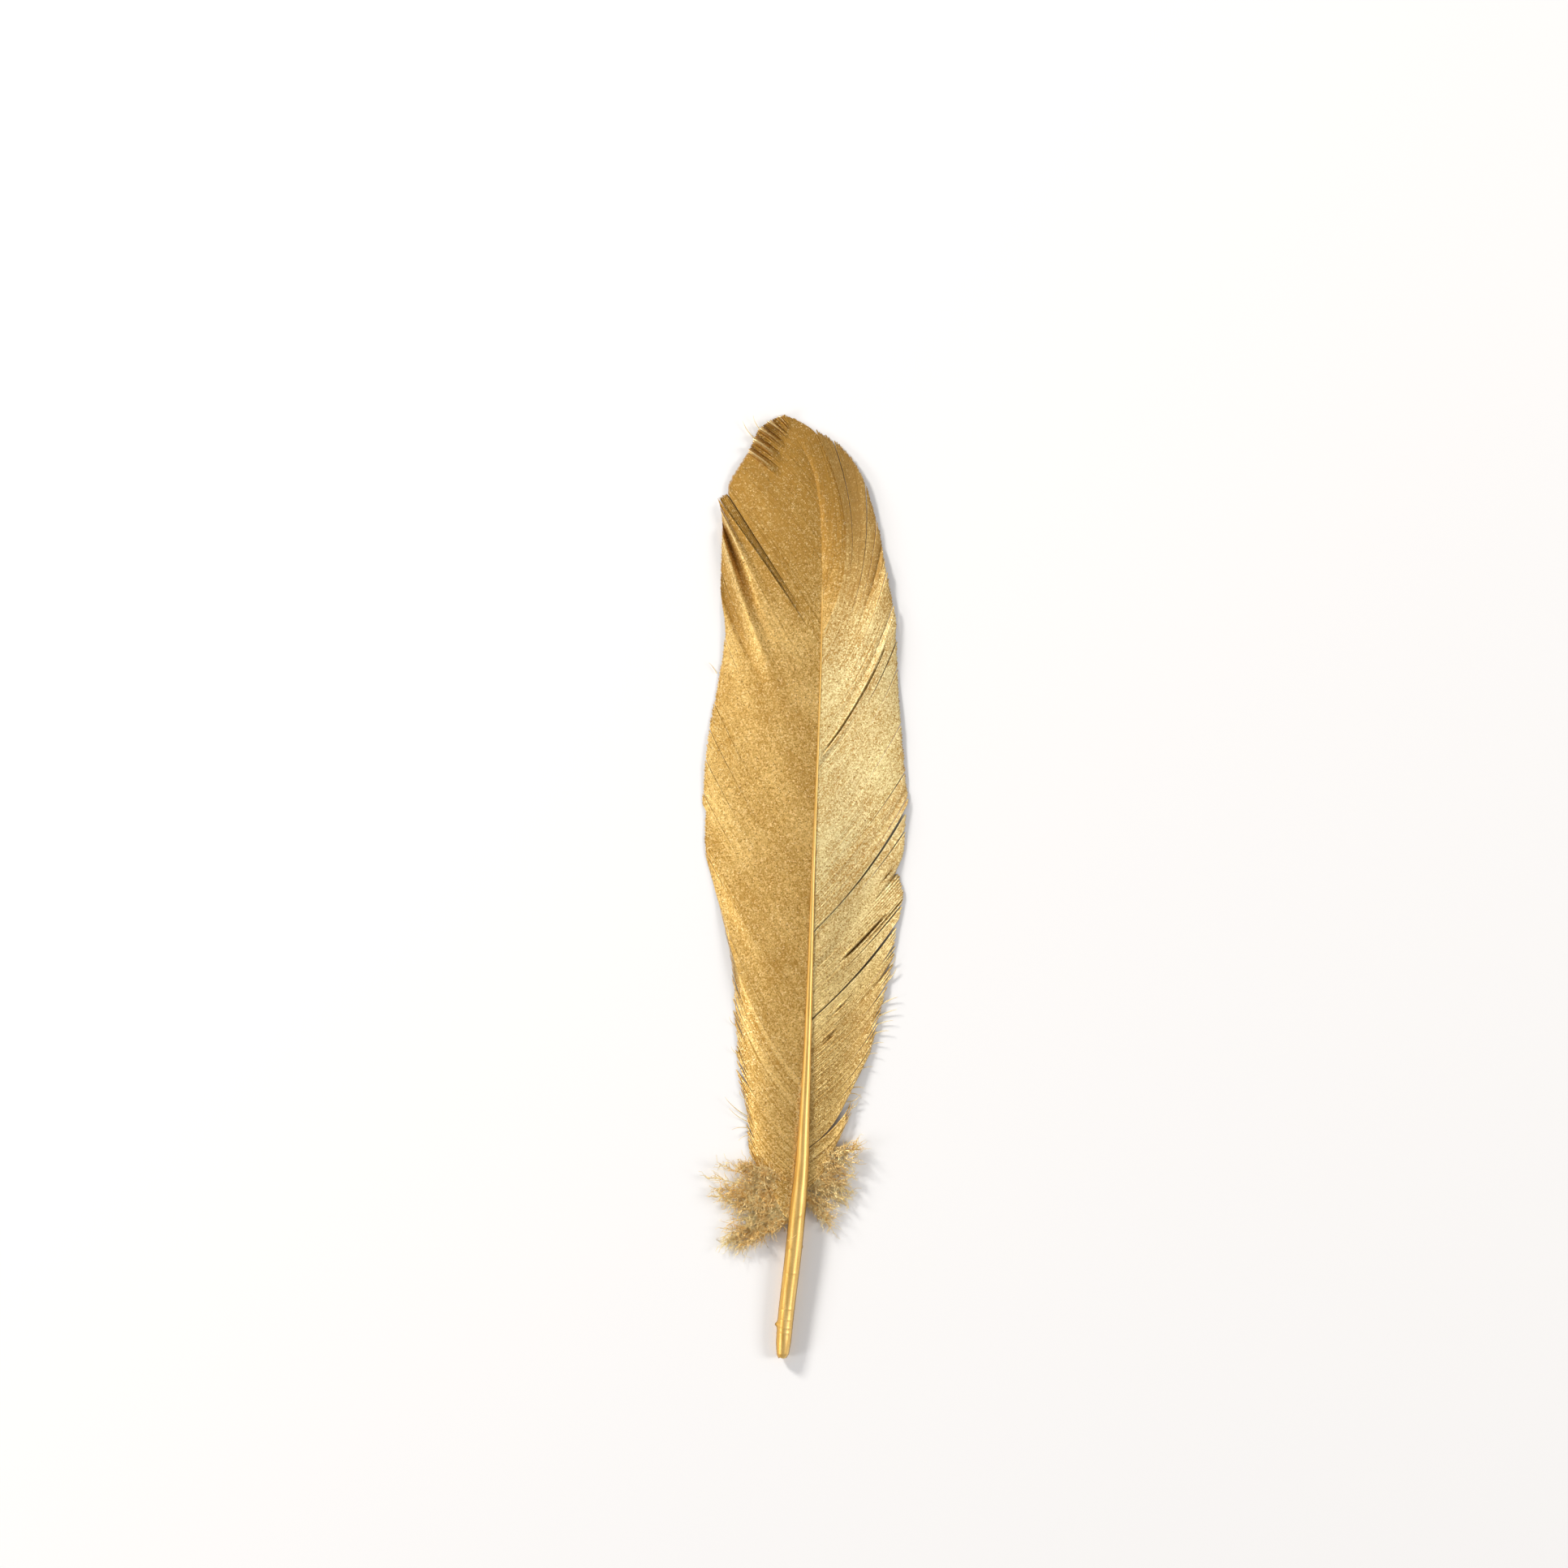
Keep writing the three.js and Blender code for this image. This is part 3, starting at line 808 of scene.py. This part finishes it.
def grow_vane(side, angles, stretches, seed, jitter, crack, step):
    """Paths, half widths, directions across and tones, with painted light and shade, of the barbs of one
    vane.
    """
    random = np.random.default_rng(seed)
    shares = np.linspace(0, 1, BARB_POINTS)
    grow = shares**1.5
    split = np.clip((shares - SPLIT_START) / (1 - SPLIT_START), 0, 1)
    paths, widths, acrosses, tones = [], [], [], []
    for stretch in stretches:
        barbs, places_along = spread_barbs(stretch["barbs"])
        count = len(barbs) - 1
        numbers, places = small_locks(random, count, *stretch.get("locks", USUAL_LOCKS))
        lock_rise = random.normal(0, step, numbers.max() + 1)
        lock_reach = random.normal(0, LOCK_REACH, numbers.max() + 1)
        lock_tone = random.normal(0, LOCK_TONE, numbers.max() + 1)
        lifts = np.interp(places_along, [0, 1], stretch["lift"])
        sink = stretch.get("sink", 0)
        inset = stretch.get("inset", ROOT_INSET)
        fray = stretch.get("fray", 0)
        base, folds = [], []
        for (root, across, along), lift in zip(barbs, lifts):
            path = barb_path(side, angles, root, (across, along), shares, inset)
            fold = fold_height(side, root, shares)
            frill = frill_wave(side, root, shares)
            path[:, 2] += lift * shares**2 - sink * np.sin(math.pi * split)
            sunk = inner_split_depth(side, root, shares)
            path[:, 2] += fold + FRILL_HEIGHT * (np.abs(frill) + frill) - sunk
            base.append(path)
            # Painted shade in fold valleys and inner splits, painted highlight on fold ridges, and both on
            # the frill.
            shade = np.minimum(fold, 0) * VALLEY_PAINTED_SHADE + np.maximum(fold, 0) * RIDGE_PAINTED_HIGHLIGHT
            folds.append(shade + frill * FRILL_PAINTED_LIGHT - sunk * SPLIT_PAINTED_SHADE)
        forward, beside, gap = neighbour_frame(np.array(base))
        for index in range(count):
            number = numbers[index]
            long = random.normal(0, jitter) + lock_reach[number]
            path = base[index] + forward[index] * (long * shares**3)[:, None]
            path[:, 2] += (lock_rise[number] - step * LOCK_LAP * places[index]) * grow
            path[:, 2] += random.normal(0, UNEVEN_HEIGHT)
            part = stretch.get("crack", crack) * places[index] * abs(places[index])
            path -= beside[index] * (part * grow)[:, None]
            width = np.clip(gap[index] * OVERLAP, NARROWEST, WIDEST)
            width *= np.clip((1 - shares) / TAPER_SHARE, BLUNT_END, 1) ** 0.6
            if fray:
                path, thin = frayed(path, forward[index], beside[index], shares, fray, random)
                width *= thin
            path[:, 2] = np.maximum(path[:, 2], LOWEST + FLATTEST * width)
            tone = lock_tone[number] + random.normal(0, stretch.get("streak", USUAL_STREAK))
            # Painted shade along the first and last barbs of a stretch, where it borders a split.
            if abs(2 * index / (count - 1) - 1) > EDGE_OF_STRETCH:
                tone = tone + stretch.get("edge_tone", 0) * np.minimum(3 * split, 1)
            paths.append(path)
            widths.append(width)
            acrosses.append(beside[index])
            tones.append(tone + folds[index])
        print("left" if side < 0 else "right", stretch["name"], "barbs:", count)
    return paths, widths, acrosses, tones


# %% The vanes
BLADE_SIDES = 6
CROWN = {"jitter": 0.07, "crack": 0.0, "step": 0.012}
left_crown = grow_vane(-1, LEFT_ANGLE, LEFT_CROWN, seed=41, **CROWN)
right_crown = grow_vane(1, RIGHT_ANGLE, RIGHT_CROWN, seed=43, **CROWN)
crown_lists = [left + right for left, right in zip(left_crown, right_crown)]
left_lists = grow_vane(-1, LEFT_ANGLE, LEFT_VANE, seed=11, jitter=0.1, crack=0.05, step=0.03)
right_lists = grow_vane(1, RIGHT_ANGLE, RIGHT_VANE, seed=23, jitter=0.14, crack=0.09, step=0.045)
crown = skinned("crown", *crown_lists, BLADE_SIDES, flatness=0.13, paint=left_paint)
left_vane = skinned("left_vane", *left_lists, BLADE_SIDES, flatness=0.18, paint=left_paint)
right_vane = skinned("right_vane", *right_lists, BLADE_SIDES, flatness=0.42, paint=right_paint)

# %% [markdown]
# ## The shaft and the quill
#
# One horny tube runs the whole length. Its lower part is the bare quill, round and hollow, with a worn
# end that was trimmed to a blunt point. Further up it gets thin and flat between the vanes. A ring of
# points at each station, joined to the next ring, is the plain way to make such a body, and it lets each
# ring differ: the last ones turn inwards over a lip and run back up inside the hollow end. Small swellings
# stand where the coat has drops and rings in it.

# %% The shaft
SHAFT_SIDES = 32
SHAFT_STATIONS = 170
SHAFT_DEPTH = 1.12
SHAFT_CLEAR_OF_GROUND = 0.03
LIP = 0.16
# The lip and the hollow behind it: depth from the quill's end, and how far in from the outside.
HOLLOW = [(0, LIP / 2), (0.05, LIP), (0.4, LIP * 2.4), (1.5, LIP * 5.4)]
# The worn end: how far its three low notches cut in, and how far along the quill they fade.
WORN_CUT = 0.1
WORN_REACH = 0.5
# Near the tip the shaft dips under the barbs: place along it and how deep.
SHAFT_UNDER_CROWN = [(50, 0), (64, 0.3), (SHAFT_END, 0.3)]
# Growth rings on the quill: place along the shaft and height.
QUILL_RINGS = [(-69.6, 0.02), (-76.1, 0.03), (-78.0, 0.025), (-79.5, 0.035), (-80.4, 0.03)]
RING_REACH = 0.16
# Extra stations at the quill's end, about a ring and about a drop, so that each keeps its shape.
END_STEPS = (0.08, 0.2, 0.35, 0.5, 0.8)
RING_STEPS = (-2, -1, -0.5, 0, 0.5, 1, 2)
DROP_STEPS = (-1.8, -1.2, -0.7, -0.3, 0, 0.3, 0.7, 1.2, 1.8)
# Drops of paint: place along the shaft, direction around it in degrees (0 is right), size and height.
PAINT_DROPS = [
    (-78.8, 172, 0.42, 0.5), (-59.2, 75, 0.3, 0.07), (-65.2, 118, 0.35, 0.08), (-64.9, 6, 0.25, 0.16),
    (-63.6, 150, 0.3, 0.1),
]


def ring_of_points(along, shrink, around):
    """One ring of the shaft, in millimetres. shrink takes it in from the outside."""
    middle = shaft_point(along)
    middle[2] -= read_off(SHAFT_UNDER_CROWN, along)
    half = shaft_half_width(along)
    reach = np.full_like(around, half - shrink)
    for place, height in QUILL_RINGS:
        reach += height * math.exp(-(((along - place) / RING_REACH) ** 2))
    for place, direction, size, height in PAINT_DROPS:
        aside = (around - math.radians(direction) + math.pi) % (2 * math.pi) - math.pi
        reach += height * np.exp(-(((along - place) / size) ** 2) - (aside * half / size) ** 2)
    fade = math.exp(-(((along - QUILL_END) / WORN_REACH) ** 2))
    notch = WORN_CUT * (1 + np.sin(3 * around + 0.6)) * fade
    ring = np.stack(
        [
            middle[0] + reach * np.cos(around),
            np.full_like(around, along) + notch,
            middle[2] + SHAFT_DEPTH * reach * np.sin(around),
        ],
        axis=-1,
    )
    ring[:, 2] = np.maximum(ring[:, 2], SHAFT_CLEAR_OF_GROUND)
    return ring


def make_shaft():
    around = np.linspace(0, 2 * math.pi, SHAFT_SIDES, endpoint=False)
    stations = set(np.round(np.linspace(QUILL_END, SHAFT_END, SHAFT_STATIONS), 2))
    stations |= {round(QUILL_END + step, 2) for step in END_STEPS}
    for place, _ in QUILL_RINGS:
        stations |= {round(place + step * RING_REACH, 2) for step in RING_STEPS}
    for place, _, size, _ in PAINT_DROPS:
        stations |= {round(place + step * size, 2) for step in DROP_STEPS}
    rings = [ring_of_points(along, 0, around) for along in sorted(stations, reverse=True)]
    rings += [ring_of_points(QUILL_END + depth, inwards, around) for depth, inwards in HOLLOW]
    corners = np.vstack(rings) * MM
    faces = []
    for row in range(len(rings) - 1):
        for side in range(SHAFT_SIDES):
            beside = (side + 1) % SHAFT_SIDES
            here, there = row * SHAFT_SIDES, (row + 1) * SHAFT_SIDES
            faces.append((here + side, here + beside, there + beside, there + side))
    faces.append(tuple(reversed(range(SHAFT_SIDES))))
    last = (len(rings) - 1) * SHAFT_SIDES
    faces.append(tuple(last + side for side in range(SHAFT_SIDES)))
    made = flat_mesh("shaft", corners, faces)
    made.data.shade_smooth()
    made.data.materials.append(quill_gold)
    aside = made.data.attributes.new("aside", "FLOAT", "POINT")
    aside.data.foreach_set("value", np.tile(np.cos(around), len(rings)).astype(np.float32))
    print("shaft rings:", len(rings), "triangles:", triangle_count(made.data))
    return made


shaft = make_shaft()

# %% [markdown]
# ## Down
#
# Low on the feather the barbs have no hooks. Each is a soft stem with fine crinkled hairs all along it,
# and together they make a tuft. The stems are drawn between a few measured ones. The hairs repeat
# thousands of times along the stems, which is work for Geometry Nodes: points at even steps along each
# stem, a straight hair on each point in a random direction, short near the shaft and longer further out,
# and then a noise that crinkles every hair more the further it gets from its stem.

# %% The tree that grows hairs along stems
HAIR_POINTS = 7
HAIR_SIDES = 3
# Range of the random part of a hair's direction, and its length beside the shaft as a share of its length
# at the stem's tip.
WILD_LOW = (-1.0, -1.0, -0.3)
WILD_HIGH = (1.0, 1.0, 0.55)
SHORT_AT_ROOT = 0.25


def fluff_tree():
    sizes = ("Spacing", "Shortest", "Longest", "Hair Radius", "Crinkle", "Crinkle Scale")
    inputs = {"Stems": "Geometry", **dict.fromkeys(sizes, "Float"), "Seed": "Int", "Paint": "Material"}
    graph, wires = open_tree("hairs_on_stems", inputs)
    stems, spacing, shortest, longest, radius, crinkle, scale, seed, paint = wires
    share = graph.geometry("SplineParameter")
    curve = graph.geometry("MeshToCurve", {0: stems})
    kept = {"Geometry": curve, "Name": "outwards", "Value": share}
    curve = graph.geometry("StoreNamedAttribute", kept, data_type="FLOAT", domain="POINT")
    step = {"Curve": curve, "Length": spacing}
    spots = graph.geometry("CurveToPoints", step, mode="LENGTH")
    along = Wire(graph, spots.socket.node.outputs["Tangent"])
    wild = {0: WILD_LOW, 1: WILD_HIGH, 8: seed}
    spread = graph.node("FunctionNodeRandomValue", {"data_type": "FLOAT_VECTOR"}, wild)
    aim = graph.node("ShaderNodeVectorMath", {"operation": "ADD"}, {0: along, 1: spread})
    turn = graph.node("FunctionNodeAlignRotationToVector", {"axis": "Z"}, {"Vector": aim})
    sizes = {2: shortest, 3: longest, 8: seed}
    long = graph.node("FunctionNodeRandomValue", {"data_type": "FLOAT"}, sizes, out=1)
    outwards = graph.named("outwards")
    long = long * (SHORT_AT_ROOT + (1 - SHORT_AT_ROOT) * outwards)
    hair = graph.geometry("CurvePrimitiveLine", {"End": (0.0, 0.0, 1.0)})
    hair = graph.geometry("ResampleCurve", {"Curve": hair, "Count": HAIR_POINTS})
    sockets = {"Points": spots, "Instance": hair, "Rotation": turn, "Scale": long}
    hairs = graph.geometry("InstanceOnPoints", sockets)
    hairs = graph.geometry("RealizeInstances", {0: hairs})
    noise = graph.node("ShaderNodeTexNoise", None, {"Scale": scale, "Detail": 1.0}, out="Color")
    shift = graph.node("ShaderNodeVectorMath", {"operation": "SUBTRACT"}, {0: noise, 1: (0.5, 0.5, 0.5)})
    shift = graph.node("ShaderNodeVectorMath", {"operation": "SCALE"}, {0: shift, "Scale": crinkle * share})
    hairs = graph.geometry("SetPosition", {"Geometry": hairs, "Offset": shift})
    circle = {"Resolution": HAIR_SIDES, "Radius": radius}
    circle = graph.geometry("CurvePrimitiveCircle", circle)
    sockets = {"Curve": hairs, "Profile Curve": circle, "Scale": 1.0 - 0.6 * share, "Fill Caps": True}
    return close_tree(graph, graph.geometry("CurveToMesh", sockets), paint)


hairs_on_stems = fluff_tree()

# %% Stems of the down
STEM_POINTS = 16
STEM_SIDES = 3
STEM_HALF_WIDTH = 0.12
STEM_CLEAR_OF_GROUND = 0.25
DOWN_CLEAR_OF_GROUND = 0.06
# Hairs lifted off the ground keep this share of their depth, so that they don't lie in one plane.
DOWN_STAGGER = 0.02
# How far the stems start below the vane, and how far their tips stray from the measured outline.
UNDER_VANE = 0.7
TIP_STRAY = 0.35
# A stem's own slow waves: how many and how wide.
STEM_WAVES = (1.5, 3.0)
WAVE_WIDTH = (0.12, 0.35)
# Root along the shaft, then the tip across, along and above the ground, and how far the stem sags aside.
LEFT_DOWN = [
    (-53.0, -11.0, -49.8, 2.2, 0.5), (-54.5, -13.2, -49.9, 2.0, 0.6), (-55.5, -15.6, -50.4, 1.6, 0.8),
    (-56.5, -17.2, -53.9, 1.2, 0.8), (-57.2, -15.4, -56.8, 1.5, 0.6), (-57.8, -13.4, -58.6, 1.4, 0.5),
    (-58.3, -13.8, -60.6, 1.1, 0.5), (-58.8, -15.2, -63.4, 0.9, 0.5), (-59.2, -15.6, -65.6, 0.8, 0.4),
    (-59.6, -12.4, -65.3, 0.9, 0.3), (-60.0, -8.9, -63.4, 1.3, 0.3), (-60.2, -6.6, -61.8, 1.5, 0.2),
]
RIGHT_DOWN = [
    (-49.0, 9.6, -46.4, 1.6, 0.3), (-50.5, 9.7, -48.8, 1.3, 0.4), (-52.0, 9.4, -51.4, 1.2, 0.4),
    (-53.2, 8.2, -54.0, 1.2, 0.4), (-54.2, 6.8, -56.6, 1.0, 0.4), (-55.4, 5.6, -60.0, 0.9, 0.3),
    (-56.2, 3.6, -62.2, 0.9, 0.2),
]


def down_stems(side, measured, count, shortest, seed):
    """Paths, widths and directions across of soft stems, spread over the measured ones."""
    random = np.random.default_rng(seed)
    share = np.linspace(0, 1, STEM_POINTS)[:, None]
    paths, widths, acrosses = [], [], []
    for place in np.linspace(0, 1, count):
        root, across, along, high, sag = smooth_through(measured, place + random.normal(0, 0.01))[0]
        start = shaft_point(root) - (0, 0, UNDER_VANE)
        start[0] += side * ROOT_INSET * shaft_half_width(root)
        tip = np.array([across, along, high])
        reach = random.uniform(shortest, 1.0)
        tip = start + (tip - start) * reach
        tip += random.normal(0, TIP_STRAY, 3) * (1, 1, 0.6)
        bend = (start + tip) / 2 + (0, sag * 1.6, random.uniform(-0.5, 0.5))
        path = (1 - share) ** 2 * start + 2 * (1 - share) * share * bend + share**2 * tip
        turns = random.uniform(*STEM_WAVES)
        phase = random.uniform(0, 2 * math.pi, 2)
        wave = np.sin(share * turns * 2 * math.pi + phase) * share * random.uniform(*WAVE_WIDTH)
        path[:, 1] += wave[:, 0]
        path[:, 2] = np.maximum(path[:, 2] + wave[:, 1] * 0.8, STEM_CLEAR_OF_GROUND)
        paths.append(path)
        widths.append(STEM_HALF_WIDTH * (1 - 0.6 * share[:, 0]))
        acrosses.append(np.tile((0.0, 0.0, 1.0), (STEM_POINTS, 1)))
    return paths, widths, acrosses, [np.zeros(STEM_POINTS)] * len(paths)


def make_down(name, side, measured, count, shortest, hairs, seed):
    """A tuft: its stems, and the hairs that grow on them, in one mesh."""
    stems = down_stems(side, measured, count, shortest, seed)
    piece = skinned(name, *stems, STEM_SIDES, flatness=1.0, paint=down_gold)
    inputs = {**hairs, "Seed": seed, "Paint": down_gold}
    fluff = grown(name + "_hairs", stems[0], hairs_on_stems, inputs)
    both = bmesh.new()
    both.from_mesh(piece.data)
    both.from_mesh(fluff)
    low = DOWN_CLEAR_OF_GROUND * MM
    for corner in both.verts:
        corner.co.z = max(corner.co.z, low + abs(corner.co.z) * DOWN_STAGGER)
    both.to_mesh(piece.data)
    both.free()
    print(name, "triangles with hairs:", triangle_count(piece.data))
    return piece


# %% Two dense tufts and their thinner wisps
DENSE_HAIRS = {
    "Spacing": 0.2 * MM,
    "Shortest": 0.9 * MM,
    "Longest": 2.7 * MM,
    "Hair Radius": 0.075 * MM,
    "Crinkle": 3.2 * MM,
    "Crinkle Scale": 1 / (1.1 * MM),
}
SPARSE_HAIRS = {**DENSE_HAIRS, "Spacing": 0.24 * MM, "Longest": 2.8 * MM, "Hair Radius": 0.06 * MM}
left_down = make_down("left_down", -1, LEFT_DOWN[:7], count=74, shortest=0.4, hairs=DENSE_HAIRS, seed=5)
left_wisps = make_down("left_wisps", -1, LEFT_DOWN[6:], count=44, shortest=0.5, hairs=SPARSE_HAIRS, seed=7)
right_down = make_down("right_down", 1, RIGHT_DOWN[:5], count=50, shortest=0.35, hairs=DENSE_HAIRS, seed=6)
right_wisps = make_down("right_wisps", 1, RIGHT_DOWN[4:], count=22, shortest=0.5, hairs=SPARSE_HAIRS, seed=8)

# %% [markdown]
# ## Loose barbs
#
# Where the hooks have let go at the edge of the vane, single barbs stand off, and some curl back. They are
# the same blades as in the vane, on their own paths: each starts inside the edge, so that it grows out of
# the vane, and then turns more and more. Low on the left of the shaft there is a row of short frizzy
# threads as well, left from the down of the young feather, and one stray thread lies stuck across the quill.

# %% Loose barbs
LOOSE_POINTS = 14
LOOSE_THICKER = 2.6
# Start across, along and height, direction in degrees (0 is right, 90 towards the tip), length, turn in
# degrees over that length, rise at the end, and half width, in millimetres.
LOOSE_BARBS = [
    (14.9, -17.0, 0.45, 48, 2.6, 25, 0.4, 0.07), (14.9, -14.6, 0.45, 40, 2.2, 35, 0.4, 0.06),
    (13.6, -21.4, 0.4, 34, 3.1, -22, 0.5, 0.07), (12.9, -23.6, 0.4, 28, 3.6, -16, 0.5, 0.07),
    (12.4, -25.2, 0.4, 26, 3.3, -24, 0.5, 0.06), (11.8, -27.0, 0.4, 30, 3.2, -34, 0.6, 0.07),
    (11.2, -28.8, 0.4, 24, 2.8, -30, 0.5, 0.06), (10.2, -30.9, 0.4, 30, 2.8, -36, 0.6, 0.06),
    (9.4, -33.2, 0.4, 26, 2.6, -30, 0.5, 0.06), (7.9, -36.6, 0.5, 24, 2.6, -50, 0.6, 0.07),
    (7.4, -37.4, 0.5, 8, 2.8, -60, 0.5, 0.06), (7.3, -38.9, 0.5, 6, 2.9, 60, 0.6, 0.06),
    (7.7, -40.2, 0.5, 15, 2.4, 70, 0.5, 0.06), (-9.2, 80.6, 0.6, 132, 3.6, -22, 0.3, 0.06),
    (-8.2, 82.3, 0.7, 128, 2.6, -30, 0.3, 0.05), (-15.9, 38.2, 0.4, 118, 2.4, 20, 0.2, 0.05),
    (-12.0, -25.5, 0.4, 150, 2.6, -50, 0.4, 0.05), (-11.6, -30.5, 0.4, 160, 2.4, -60, 0.5, 0.05),
    (-10.5, -38.5, 0.4, 155, 2.3, -70, 0.5, 0.05), (-9.9, -41.8, 0.45, 150, 5.6, -25, 0.7, 0.06),
    (-9.5, -42.8, 0.45, 158, 4.8, -30, 0.8, 0.055), (-9.3, -43.8, 0.45, 165, 3.8, 40, 0.6, 0.055),
    (-9.1, -45.0, 0.45, 172, 3.0, 60, 0.6, 0.05),
]
FRIZZ_COUNT = 420
FRIZZ_RANGE = (-59.0, -36.0)
FRIZZ_HALF_WIDTH = 0.065
FRIZZ_START = (0.8, 1.05)
FRIZZ_DIRECTION = (60, 200)
FRIZZ_TURN = (40, 140)
FRIZZ_LENGTH = (0.35, 0.9)
FRIZZ_RISE = (0, 0.4)


def turning_path(start, direction, length, turn, rise):
    """A path that sets out in a direction and turns more and more, in millimetres."""
    share = np.linspace(0, 1, LOOSE_POINTS)
    heading = np.radians(direction + turn * share**1.6)
    step = length / (LOOSE_POINTS - 1)
    across = start[0] + np.cumsum(np.cos(heading)) * step
    along = start[1] + np.cumsum(np.sin(heading)) * step
    return np.stack([across, along, start[2] + rise * share**1.5], axis=-1)


# Both ends of the thread on the quill, across and along in millimetres.
THREAD_ENDS = ((-3.2, -63.8), (-0.6, -61.9))
THREAD_HALF_WIDTH = 0.075


def thread_on_quill():
    """A path over the top of the quill, in millimetres."""
    share = np.linspace(0, 1, LOOSE_POINTS)
    across, along = (np.interp(share, (0, 1), ends) for ends in zip(*THREAD_ENDS))
    middle = shaft_point(along)
    half = shaft_half_width(along)
    up = np.sqrt(np.maximum(half**2 - (across - middle[:, 0]) ** 2, 0))
    return np.stack([across, along, middle[:, 2] + SHAFT_DEPTH * up], axis=-1)


def loose_paths(seed):
    """Paths, half widths, directions across and tones of all that stands off the vanes and the shaft."""
    random = np.random.default_rng(seed)
    taper = 1 - 0.75 * np.linspace(0, 1, LOOSE_POINTS) ** 1.4
    paths, widths = [], []
    for across, along, high, direction, length, turn, rise, half in LOOSE_BARBS:
        paths.append(turning_path((across, along, high), direction, length, turn, rise))
        widths.append(LOOSE_THICKER * half * taper)
    for along in np.sort(random.uniform(*FRIZZ_RANGE, FRIZZ_COUNT)):
        across, _, high = shaft_point(along)
        start = (across - random.uniform(*FRIZZ_START) * shaft_half_width(along), along, high + 0.25)
        direction = random.uniform(*FRIZZ_DIRECTION)
        turn = random.choice((-1, 1)) * random.uniform(*FRIZZ_TURN)
        length = random.uniform(*FRIZZ_LENGTH)
        paths.append(turning_path(start, direction, length, turn, random.uniform(*FRIZZ_RISE)))
        widths.append(FRIZZ_HALF_WIDTH * taper)
    paths.append(thread_on_quill())
    widths.append(THREAD_HALF_WIDTH * taper)
    acrosses = [np.tile((0.0, 0.0, 1.0), (LOOSE_POINTS, 1))] * len(paths)
    return paths, widths, acrosses, [np.zeros(LOOSE_POINTS)] * len(paths)


LOOSE_SIDES = 4
loose_barbs = skinned("loose_barbs", *loose_paths(31), LOOSE_SIDES, flatness=0.6, paint=down_gold)

# %% [markdown]
# ## Handing the pieces over
#
# Every piece rides on the feather's one body and stands in place of its plain solid.

# %% Hand the pieces over
PIECES = [shaft, crown, left_vane, right_vane, left_down, left_wisps, right_down, right_wisps, loose_barbs]
for piece in PIECES:
    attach(piece, "root")
    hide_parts("goose_feather")
